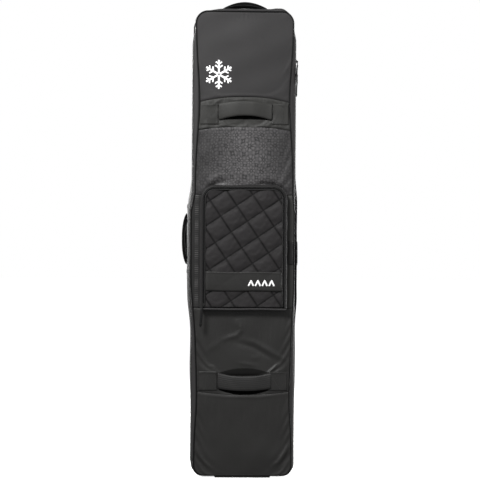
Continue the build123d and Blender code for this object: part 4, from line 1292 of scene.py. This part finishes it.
FRONT_STRAPS = {
    "upper_handle": dict(x=3.0, ends=(1279.0, 1336.0), middle=(1293.5, 1346.0), material=BAND, slot="fabric_main"),
    "lower_handle": dict(x=4.5, ends=(319.0, 374.0), middle=(311.0, 362.0), material=WEBBING, slot="webbing"),
}


def front_strap_points(spec, shares):
    """A front handle's centre line and widths at shares from -1 to 1 of its half span."""
    arch = np.cos(np.clip(shares, -1, 1) * math.pi / 2) ** 0.8
    low = spec["ends"][0] + (spec["middle"][0] - spec["ends"][0]) * arch
    high = spec["ends"][1] + (spec["middle"][1] - spec["ends"][1]) * arch
    out = smooth_step((1 - np.abs(shares)) / 0.75)
    y = -95.4 - 7.6 * out
    x = spec["x"] + shares * 90.5
    return np.stack([x, y, (low + high) / 2], axis=1), high - low


def make_front_handles():
    """The two front grab handles. Each half bends from its sewn tab to the part that lifts."""
    for name, spec in FRONT_STRAPS.items():
        for side, label in ((-1, "left"), (1, "right")):
            shares = np.linspace(0, 1.04, 40)[::-1] * side if side < 0 else np.linspace(0, 1.04, 40)
            centres, widths = front_strap_points(spec, shares)
            half = strap(f"{name}_{label}", centres, [0, 0, 1], 3.4, widths, crown=1.0)
            finish_piece(half, spec["material"], "lid", spec["slot"])
            half.parent = None
            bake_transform(half)
            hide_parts(f"{name}_strap")


def lay_on(points, targets, lift, direction=(0, 1, 0)):
    """Moves points onto the first surface they meet along a direction, then lifts them off it."""
    from mathutils.bvhtree import BVHTree

    graph = bpy.context.evaluated_depsgraph_get()
    trees = [BVHTree.FromObject(target, graph) for target in targets]
    way = Vector(direction)
    placed = points.copy()
    for k, point in enumerate(points):
        origin = Vector((point * MM).tolist()) - way * 0.2
        hits = [tree.ray_cast(origin, way) for tree in trees]
        hits = [(hit[3], hit[0]) for hit in hits if hit[0] is not None]
        if hits:
            spot = min(hits)[1] - way * lift * MM
            placed[k] = np.array(spot) / MM
    return placed


def patch(name, corners, targets, lift, thickness, pitch=4.0, direction=(0, 1, 0)):
    """A sewn-on patch with four corners, laid on the surfaces under it."""
    a, b, c, d = [np.asarray(corner, dtype=float) for corner in corners]
    count_u = max(3, int(np.linalg.norm(b - a) / pitch)) + 1
    count_v = max(3, int(np.linalg.norm(d - a) / pitch)) + 1
    u = np.linspace(0, 1, count_u)[:, None, None]
    v = np.linspace(0, 1, count_v)[None, :, None]
    flat = (a * (1 - u) + b * u) * (1 - v) + (d * (1 - u) + c * u) * v
    laid = lay_on(flat.reshape(-1, 3), targets, lift, direction).reshape(flat.shape)
    piece = grid(name, laid)
    if Vector(direction).dot(piece.data.polygons[0].normal) > 0:
        piece.data.flip_normals()
    thicken(piece, thickness, outwards=True)
    return piece


def stitch_run(points, pitch=4.2):
    """Centres and directions of stitches along a line of points."""
    spots = resample(np.asarray(points, dtype=float), pitch)
    ahead = tangents(spots)
    return spots[:-1] + np.diff(spots, axis=0) / 2, ahead[:-1]


def stitches(name, runs, targets, body, direction=(0, 1, 0), material=None, lift=0.35):
    """Rows of thread stitches laid on the surfaces under them."""
    spots, aheads = zip(*[stitch_run(run) for run in runs])
    spots, aheads = np.vstack(spots), np.vstack(aheads)
    spots = lay_on(spots, targets, lift, direction)
    out = np.tile(-np.asarray(direction, dtype=float), (len(spots), 1))
    across = np.cross(out, aheads)
    across /= np.linalg.norm(across, axis=1, keepdims=True)
    out = np.cross(aheads, across)
    piece = blocks(name, spots, np.stack([aheads, across, out], axis=1), (2.9, 0.7, 0.7), 0.6)
    return finish_piece(piece, material or THREAD, body, "piping")


def box_stitch(x0, x1, z0, z1, y=-90.0):
    """A box with a cross in it, as runs of points on the front."""
    corners = [(x0, y, z0), (x1, y, z0), (x1, y, z1), (x0, y, z1)]
    runs = [[corners[k], corners[(k + 1) % 4]] for k in range(4)]
    return runs + [[corners[0], corners[2]], [corners[1], corners[3]]]


def make_front_tabs(front):
    """The sewn tabs at the ends of the front handles, and the patch across the right strip."""
    bands = [p for p in front if p.name in ("front_handle_band", "front_upper", "front_embossed")]
    lowers = [p for p in front if p.name in ("front_lower", "front_bottom")]
    strips = [p for p in front if p.name.startswith("front_right")]
    jobs = [
        ("upper_tab_left", -157, -93, 1262, 1336, bands, BAND),
        ("upper_tab_right", 99, 158, 1262, 1336, bands, BAND),
        ("lower_tab_left", -158, -92, 312, 380, lowers, LOWER),
        ("lower_tab_right", 92, 158, 312, 380, lowers, LOWER),
        ("pocket_patch", 155, 178, 762, 846, strips, STRIP),
    ]
    runs = []
    for name, x0, x1, z0, z1, targets, material in jobs:
        corners = [(x0, -90, z0), (x1, -90, z0), (x1, -90, z1), (x0, -90, z1)]
        tab = patch(name, corners, targets, 0.2, 1.2)
        slot = "webbing" if name == "pocket_patch" else "fabric_main"
        finish_piece(tab, material, "lid", slot)
        if name == "pocket_patch":
            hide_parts("lid_patches")
            continue
        inner = x1 - 4 if x0 < 0 else x0 + 4
        outer = inner - 36 if x0 < 0 else inner + 36
        row = stitches(f"{name}_stitches", box_stitch(inner, outer, z0 + 5, z1 - 5), [tab], "lid")
        runs.append(row)


def crescent(name, x0, x1, low, high, targets, material=PAINTED_SHADOW):
    """A dark sheet laid behind a grab handle as painted shadow: a lens between two edges, each given by the share
    across it.
    """
    share = np.linspace(-1, 1, 60)[:, None]
    t = np.linspace(0, 1, 8)[None, :]
    x = (x0 + x1) / 2 + share * (x1 - x0) / 2 + 0 * t
    z = low(share) + (high(share) - low(share)) * t
    flat = np.stack([x, np.full_like(x, -90.0), z], axis=2)
    laid = lay_on(flat.reshape(-1, 3), targets, 0.3).reshape(flat.shape)
    piece = grid(name, laid)
    thicken(piece, 0.6, outwards=True)
    return finish_piece(piece, material, "lid", "lining")


def make_painted_shadows(front):
    """Painted shadow at the two grab handles: dark lens-shaped sheets laid where their shade falls."""
    band = [p for p in front if p.name == "front_handle_band"]
    lowers = [p for p in front if p.name in ("front_lower", "front_bottom")]
    # Painted shadows under both handles, and lighter painted shade above the lower handle.
    crescent("upper_painted_shadow", -91, 97, lambda s: 1278 + 3 * (1 - s**2), lambda s: 1280 + 24 * (1 - s**2), band)
    crescent("lower_painted_shadow", -85, 94, lambda s: 314 - 17 * (1 - s**2), lambda s: 320 + 0 * s, lowers)
    crescent("rear_painted_shade", -86, 96, lambda s: 366 + 0 * s, lambda s: 375 + 18 * (1 - s**2), lowers, SHADE)


def handle_strap(name, node, body, ends, rise, out_axis, long_axis, base, grip_half):
    """A carry handle's two strap halves, which bend from their anchors; the padded grip between them is made by
    make_grip.
    """
    out_axis, long_axis = np.array(out_axis, float), np.array(long_axis, float)
    wide_axis = np.array([0.0, 1.0, 0.0])
    base = np.array(base, float)
    for side, label in ((-1, "low"), (1, "high")):
        share = np.linspace(0, 1, 44)
        lift = rise * (1 - share**2) ** 0.9
        centres = base + np.outer(side * share * ends, long_axis) + np.outer(lift, out_axis)
        tail = np.linspace(0.2, 1, 6)[:, None] * 24 * side
        centres = np.vstack([centres, centres[-1] + tail * long_axis])
        centres[-6:] -= out_axis * np.linspace(0.2, 1.6, 6)[:, None]
        widths = 30 - 4 * smooth_step((np.abs((centres - base) @ long_axis) - grip_half) / 30)
        if side < 0:
            centres, widths = centres[::-1], widths[::-1]
        half = strap(f"{name}_{label}", centres, wide_axis, 2.6, widths, crown=0.4)
        finish_piece(half, BINDING, "shell", "webbing")
        half.parent = None
        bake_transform(half)
        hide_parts(node)


def make_grip(name, body, node, base, long_axis, out_axis, half, inner, outer, deep):
    """A padded sleeve round a handle, between an inner and an outer edge given by the share along it."""
    share = np.sin(np.linspace(-1, 1, 71) * math.pi / 2)
    long_axis, out_axis = np.array(long_axis, float), np.array(out_axis, float)
    near, far = inner(share), outer(share)
    centres = np.array(base, float) + np.outer(share * half, long_axis) + np.outer((near + far) / 2, out_axis)
    across = np.tile([0.0, 1.0, 0.0], (len(share), 1))
    facing = np.cross(np.tile(long_axis, (len(share), 1)), across)
    angle = np.arange(32) * 2 * math.pi / 32
    ring = np.stack([np.cos(angle), np.sin(angle)], axis=1)
    ring = np.sign(ring) * np.abs(ring) ** 0.82
    sections = np.repeat(ring[None], len(share), axis=0)
    close = (1 - np.abs(share) ** 14) ** 0.5 * 0.9 + 0.1
    sections[:, :, 0] *= (deep * (1 - 0.12 * share**4) * close)[:, None]
    sections[:, :, 1] *= ((far - near) / 2 * close)[:, None]
    sections *= (1 + 0.015 * np.sin(share * half * 2 * math.pi / 9.0))[:, None, None]
    grip = sweep(name, centres, across, facing, sections)
    finish_piece(grip, PAD, body, "handle_pad", node)
    return grip


def side_mid(low, high, axis):
    return float(low[axis] + high[axis]) / 2


def make_carry_handles(gussets):
    """The top and side carry handles with the tabs that hold them."""
    top = (side_mid(*span("top_handle_grip"), 0), 10, 1680.0)
    side = (-188.0, 0, side_mid(*span("side_handle_grip"), 2))
    names = ("top_handle_strap", "top_handle_webbing", "top_handle")
    handle_strap(*names, 82, 17.0, (0, 0, 1), (1, 0, 0), top, 36)
    names = ("side_handle_strap", "side_handle_webbing", "side_handle")
    handle_strap(*names, 96, 21.0, (-1, 0, 0), (0, 0, 1), side, 42)
    make_grip(
        "top_handle_sleeve", "top_handle", "top_handle_grip", (top[0] + 4, 10, 1680.0), (1, 0, 0), (0, 0, 1), 80,
        lambda s: 2.5 + 3.5 * (1 - s**2), lambda s: 8.0 + 22.0 * (1 - s**2) ** 1.15, 13.0,
    )
    make_grip(
        "side_handle_sleeve", "side_handle", "side_handle_grip", side, (0, 0, 1), (-1, 0, 0), 92,
        lambda s: 12.0 + 1.0 * (1 - s**2), lambda s: 18.5 + 13.5 * (1 - np.abs(s) ** 2.6), 9.0,
    )
    make_shell_tabs(gussets)


def make_shell_tabs(gussets):
    """Sewn patches under the carry handles' ends and across the right side."""
    jobs = []
    for side in (-1, 1):
        x0, x1 = side * 80, side * 110
        square = [(x0, -9, 1700), (x1, -9, 1700), (x1, 29, 1700), (x0, 29, 1700)]
        jobs.append((f"top_tab_{'left' if side < 0 else 'right'}", square, "top_panel", (0, 0, -1)))
    for label, z0, z1 in (("low", 729, 760), ("high", 946, 978)):
        square = [(-210, -19, z0), (-210, 19, z0), (-210, 19, z1), (-210, -19, z1)]
        jobs.append((f"side_tab_{label}", square, "side_left", (1, 0, 0)))
    square = [(210, -58, 762), (210, 34, 762), (210, 34, 845), (210, -58, 845)]
    jobs.append(("side_patch", square, "side_right", (-1, 0, 0)))
    for name, corners, target, way in jobs:
        tab = patch(name, corners, [gussets[target]], 0.2, 1.3, 3.5, way)
        finish_piece(tab, BINDING if name == "side_patch" else WEBBING, "shell", "webbing")
        lines = np.array(corners, dtype=float)
        middle = lines.mean(axis=0)
        inner = middle + (lines - middle) * 0.82
        runs = [[inner[k], inner[(k + 1) % 4]] for k in range(4)] + [[inner[0], inner[2]], [inner[1], inner[3]]]
        stitches(f"{name}_stitches", runs if name != "side_patch" else runs[:4], [tab], "shell", way)
        if name == "side_patch":
            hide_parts("shell_patches")


# Each zip pull's path from its slider's pin, the direction of its width, and its thickness
PULLS = {
    "main_upper_pull": (
        [(190.2, -72.4, 1490), (189.4, -77.0, 1478), (187.6, -82.6, 1462), (186.8, -85.4, 1440), (188.6, -84.6, 1406)],
        (0, 1, 0), 5.6,
    ),
    "main_lower_pull": (
        [(190.2, -72.4, 1440), (189.4, -72.4, 1426), (188.2, -72.2, 1408), (187.4, -71.8, 1388), (187.0, -71.4, 1364)],
        (0, 1, 0), 4.6,
    ),
    "pocket_pull": (
        [(-142.6, -119.4, 618), (-147.4, -120.2, 606), (-150.6, -120.6, 590), (-150.2, -120.4, 570), (-153.6, -119.8, 540)],
        (1, 0, 0), 4.6,
    ),
}


def make_pulls():
    """The zip pulls: a short cord from the slider's pin to a flat moulded grip."""
    angle = np.arange(20) * 2 * math.pi / 20
    ring = np.stack([np.cos(angle), np.sin(angle)], axis=1)
    ring = np.sign(ring) * np.abs(ring) ** 0.75 / 2
    for name, (path, wide, thick) in PULLS.items():
        path = np.array(path, dtype=float)
        t = np.linspace(0, 1, len(path))
        share = np.linspace(0, 1, 60)
        centres = np.stack([np.polyval(np.polyfit(t, path[:, k], 3), share) for k in range(3)], axis=1)
        grip = smooth_step((share - 0.2) / 0.1)
        end = np.sqrt(np.clip(1 - np.clip((share - 0.93) / 0.07, 0, 1) ** 2, 0.02, 1))
        widths = (3.0 + (6.2 + 1.2 * share) * grip) * end
        sections = np.repeat(ring[None], 60, axis=0)
        sections[:, :, 0] *= widths[:, None]
        sections[:, :, 1] *= ((2.6 + (thick - 2.6) * grip + 0.3 * np.sin(share * 90) * grip) * end)[:, None]
        travel = tangents(centres)
        facing = np.cross(travel, np.tile(wide, (60, 1)))
        facing /= np.linalg.norm(facing, axis=1, keepdims=True)
        piece = sweep(f"{name}_cord", centres, np.cross(facing, travel), facing, sections)
        finish_piece(piece, RUBBER, name, "pull", name)


# ------------------------------------------------------------------ inside


def make_inside():
    """The lining: the lid's quilted inside, the back's, and the two sides' padding."""
    low, high = span("lid_lining")
    lid = inner_sheet("lid_inside", low, high, LINING_Y + 0.4, -1.0, 41)
    lid.data.flip_normals()
    thicken(lid, 1.2, outwards=False)
    finish_piece(lid, LINING, "lid", "lining", "lid_lining", "lid_foam")
    low, high = span("back_lining")
    back = inner_sheet("back_inside", low, high, BACK_LINING_Y - 0.4, 1.0, 42)
    thicken(back, 1.2)
    finish_piece(back, LINING, "shell", "lining", "back_lining", "back_foam", "back_stiffener")
    line, unit = RIM_LINE, RIM_OUT
    body = line[:, 1] > TRAY_TOP - 1
    chosen_line, chosen_unit = line[body] - unit[body] * 6.0, unit[body]
    rows = []
    for y in np.linspace(GUSSET_FRONT + 2, 79, 18):
        puff = 0.9 * math.sin(math.pi * (y + 60) / 139) + ripple(line[body, 1], np.full(body.sum(), y), 90, 44) * 0.5
        rows.append(at_depth(chosen_line - chosen_unit * puff[:, None], y))
    sides = grid("side_inside", np.stack(rows, axis=1))
    thicken(sides, 1.2)
    finish_piece(sides, LINING, "shell", "lining", "gusset_foam")
    pad_low, pad_high = span("base_pad")
    make_base_pad(pad_low, pad_high)


def inner_sheet(name, low, high, y, sign, seed):
    """A padded lining with sewn channels every 150 mm."""
    half, top, bottom = high[0] - 1, high[2] - 1, low[2] + 1
    u = np.linspace(-1, 1, 50)[:, None]
    t = np.linspace(0, 1, 170)[None, :]
    z = bottom + (top - bottom) * t + 0 * u
    radius = 38.0
    cut_top = np.clip(z - (top - radius), 0, radius)
    cut_low = np.clip(bottom + 20.0 - z, 0, 20.0)
    x = u * (half - radius - 20 + np.sqrt(radius**2 - cut_top**2) + np.sqrt(20.0**2 - cut_low**2))
    puff = np.abs(np.sin(math.pi * (z - bottom) / 150.0)) ** 0.35 * smooth_step((1 - np.abs(u)) / 0.1)
    puff = puff * 1.4 + ripple(x, z, 60, seed) * 0.25
    z = z - (top_drop(x) + 1.0) * smooth_step((z - 1500.0) / 150.0)
    return grid(name, np.stack([x, y - sign * puff, z], axis=2))


def make_base_pad(low, high):
    """A thin pad in the bottom of the bag."""
    u = np.linspace(-1, 1, 40)[:, None]
    v = np.linspace(-1, 1, 20)[None, :]
    x = u * high[0] + 0 * v
    y = (low[1] + high[1]) / 2 + v * (high[1] - low[1]) / 2 + 0 * u
    edge = (1 - np.abs(u) ** 10) * (1 - np.abs(v) ** 8)
    z = low[2] + 1.5 + (high[2] - low[2] - 1.5) * edge
    pad = grid("base_cushion", np.stack([x, y, z], axis=2))
    thicken(pad, 1.4)
    finish_piece(pad, LINING, "shell", "lining", "base_pad")


def make_board_straps():
    """Soft webbing in place of the CAD straps inside the bag."""
    low, high = span("board_straps_left")
    sockets = span("buckle_sockets")
    for index, z in enumerate((1150.0, 480.0)):
        label = ("upper", "lower")[index]
        xs = np.linspace(low[0] + 1, sockets[0][0] + 6, 40)
        y = 77.6 - 5.5 * smooth_step((xs - xs[0]) / 70) - 1.5 * np.sin((xs - xs[0]) / 23)
        centres = np.stack([xs, y, np.full_like(xs, z)], axis=1)
        piece = strap(f"{label}_board_strap", centres, [0, 0, 1], 1.6, np.full(40, 25.0))
        finish_piece(piece, WEBBING, "shell", "webbing")
        if index == 0:
            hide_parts("board_straps_left")


# ------------------------------------------------------------------ graphics


def stroke(points, width, pitch=3.0):
    """A flat stroke on the front as strip vertices and faces, in (x, z)."""
    line = np.asarray(points, dtype=float)
    length = np.linalg.norm(np.diff(line, axis=0), axis=1).sum()
    run = np.concatenate([[0], np.cumsum(np.linalg.norm(np.diff(line, axis=0), axis=1))])
    at = np.unique(np.concatenate([np.linspace(0, length, max(2, int(length / pitch) + 1)), run]))
    x, z = np.interp(at, run, line[:, 0]), np.interp(at, run, line[:, 1])
    dx, dz = np.gradient(x), np.gradient(z)
    size = np.hypot(dx, dz)
    nx, nz = -dz / size, dx / size
    half = width / 2
    rows = [np.stack([x + nx * k * half, 0 * x, z + nz * k * half], axis=1) for k in (-1, -0.33, 0.33, 1)]
    return np.stack(rows, axis=1)


def flat_print(name, strokes, targets, body, direction=(0, 1, 0), lift=0.25, place=None):
    """White printed strokes laid on the fabric as a thin film."""
    parts = []
    for index, ribbon_points in enumerate(strokes):
        shape = ribbon_points.shape
        points = ribbon_points.reshape(-1, 3)
        if place is not None:
            points = place(points)
        laid = lay_on(points, targets, lift + index * 0.02, direction).reshape(shape)
        part = grid(f"{name}_{index}", laid)
        if Vector(direction).dot(part.data.polygons[0].normal) > 0:
            part.data.flip_normals()
        parts.append(thicken(part, 0.35, outwards=True))
    piece = join(name, parts)
    return finish_piece(piece, PRINT, body, None)


def snowflake_strokes(cx, cz, reach):
    """Six straight arms with two pairs of barbs each."""
    made = []
    for k in range(6):
        angle = math.radians(60 * k + 30)
        arm = np.array([math.cos(angle), math.sin(angle)])
        centre = np.array([cx, cz])
        made.append(stroke([centre + arm * 3, centre + arm * reach], 6.8))
        for share, size in ((0.45, 0.25), (0.72, 0.2)):
            root = centre + arm * reach * share
            for turn in (-1, 1):
                bent = angle + turn * math.radians(56)
                tip = root + np.array([math.cos(bent), math.sin(bent)]) * reach * size * 1.25
                made.append(stroke([root, tip], 5.2))
    return made


def make_graphics(front, band, gussets):
    """Generic marks where the bag carries white graphics: a snowflake, four chevrons and slanted bars."""
    upper = [p for p in front if p.name == "front_upper"]
    flat_print("snowflake_print", snowflake_strokes(-92.0, 1440.0, 52.0), upper, "lid")
    peaks = []
    for k in range(4):
        x = 26.0 + 24.5 * k
        peaks.append(stroke([(x - 9, 686), (x, 705), (x + 9, 686)], 6.0, 2.0))
    flat_print("chevron_print", peaks, [band], "pocket_flap")
    bars = []
    for z in (194.0, 220.0, 246.0):
        bars.append(stroke([(-62, z), (2, z + 24)], 11.0))

    def turn(points):
        return np.stack([np.full(len(points), -210.0), points[:, 0], points[:, 2]], axis=1)

    flat_print("side_print", bars, [gussets["side_left"]], "shell", (1, 0, 0), place=turn)


# ------------------------------------------------------------------ CAD parts that stay


def dress_cad():
    """Materials for the CAD nodes whose shapes stay."""
    looks = {
        "base_tray": BASE, "standing_foot": SOLE, "wheel_wells": BASE, "skid_rails": BASE,
        "axle_bolts": STEEL, "axle_nuts": STEEL, "axle_spacers": STEEL, "case_screws": STEEL,
        "left_wheel_hub": HUB, "right_wheel_hub": HUB, "left_wheel_tyre": TYRE, "right_wheel_tyre": TYRE,
        "left_wheel_bearings": STEEL, "right_wheel_bearings": STEEL,
        "main_upper_slider": SLIDER, "main_lower_slider": SLIDER, "pocket_slider": SLIDER,
        "buckle_sockets": BUCKLE, "upper_buckle_plug": BUCKLE, "lower_buckle_plug": BUCKLE,
    }
    for node, material in looks.items():
        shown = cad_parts[node]
        shown.data.materials.clear()
        shown.data.materials.append(material)


# ------------------------------------------------------------------ floor, light and camera


AMBIENT = 0.35


def make_stage():
    """A flat white floor, and a world that is white to look at but lights the bag only softly."""
    reach = np.linspace(-40000.0, 40000.0, 17)
    points = np.stack([*np.meshgrid(reach, reach, indexing="ij"), np.zeros((17, 17))], axis=2)
    floor = grid("studio_floor", points)
    made = new_material("studio_white", (0.95, 0.95, 0.95), 0.9, Emission_Strength=0.75)
    made.node_tree.nodes["Principled BSDF"].inputs["Emission Color"].default_value = (1, 1, 1, 1)
    nodes = Nodes(made)
    vector, _ = nodes.coordinates("Object")
    cloud = nodes.noise(vector, 1.2, 2.0)
    nodes.link(nodes.ramp(cloud, (0.93, 0.93, 0.93), (0.96, 0.96, 0.96)), nodes.shader.inputs["Base Color"])
    floor.data.materials.append(made)
    floor.visible_diffuse = floor.visible_glossy = False
    world = bpy.data.worlds.new("studio")
    bpy.context.scene.world = world
    world.use_nodes = True
    tree = world.node_tree
    background = tree.nodes["Background"]
    background.inputs["Color"].default_value = (1, 1, 1, 1)
    seen = tree.nodes.new("ShaderNodeLightPath")
    strength = tree.nodes.new("ShaderNodeMapRange")
    strength.inputs["To Min"].default_value = AMBIENT
    tree.links.new(seen.outputs["Is Camera Ray"], strength.inputs["Value"])
    tree.links.new(strength.outputs["Result"], background.inputs["Strength"])


def area_light(name, place, aim, size, power):
    data = bpy.data.lights.new(name, "AREA")
    data.shape = "RECTANGLE"
    data.size, data.size_y = size
    data.energy = power
    lamp = bpy.data.objects.new(name, data)
    lamp.visible_camera = False
    bpy.context.scene.collection.objects.link(lamp)
    lamp.location = place
    lamp.rotation_mode = "QUATERNION"
    lamp.rotation_quaternion = (Vector(aim) - Vector(place)).to_track_quat("-Z", "Y")


def make_camera():
    """A long lens, a touch to the left of the bag and level with its middle."""
    data = bpy.data.cameras.new("camera")
    data.lens = 168.0
    data.sensor_width = 36.0
    camera = bpy.data.objects.new("camera", data)
    bpy.context.scene.collection.objects.link(camera)
    turn = math.radians(-2.0)
    aim = Vector((-0.0099, 0.0, 0.8497))
    reach = 8.09
    camera.location = aim + Vector((math.sin(turn), -math.cos(turn), 0.0)) * reach
    camera.rotation_mode = "QUATERNION"
    look = (aim - camera.location).to_track_quat("-Z", "Y")
    from mathutils import Quaternion

    camera.rotation_quaternion = look @ Quaternion((0, 0, 1), math.radians(0.35))
    bpy.context.scene.camera = camera


def set_view():
    """Shows plain sRGB colours, so that the white surroundings stay white."""
    view = bpy.context.scene.view_settings
    view.view_transform = "Standard"
    view.look = "None"


make_camera()
set_view()
make_stage()
area_light("key", (-1.7, -2.5, 3.3), (0, 0, 0.9), (1.3, 1.0), 282)
area_light("fill", (2.6, -3.4, 1.2), (0, 0, 0.7), (1.2, 2.0), 28)
area_light("left", (-3.4, 0.6, 2.2), (0, 0, 1.1), (1.0, 1.6), 22)
area_light("right", (3.4, 0.7, 0.45), (0, 0, 0.2), (1.2, 0.8), 130)
area_light("back_left", (-2.2, 3.4, 2.2), (0, 0, 0.9), (1.4, 1.4), 220)
area_light("back_right", (2.2, 3.4, 1.6), (0, 0, 0.8), (1.2, 1.6), 90)
front = make_front()
make_rim()
gussets = make_gussets()
make_back()
make_main_zip()
make_pipings()
make_pocket_wall()
make_quilt()
band = make_flap_band()
make_pocket_zip()
make_painted_shadows(front)
make_front_handles()
make_front_tabs(front)
make_carry_handles(gussets)
make_pulls()
make_inside()
make_board_straps()
make_graphics(front, band, gussets)
dress_cad()
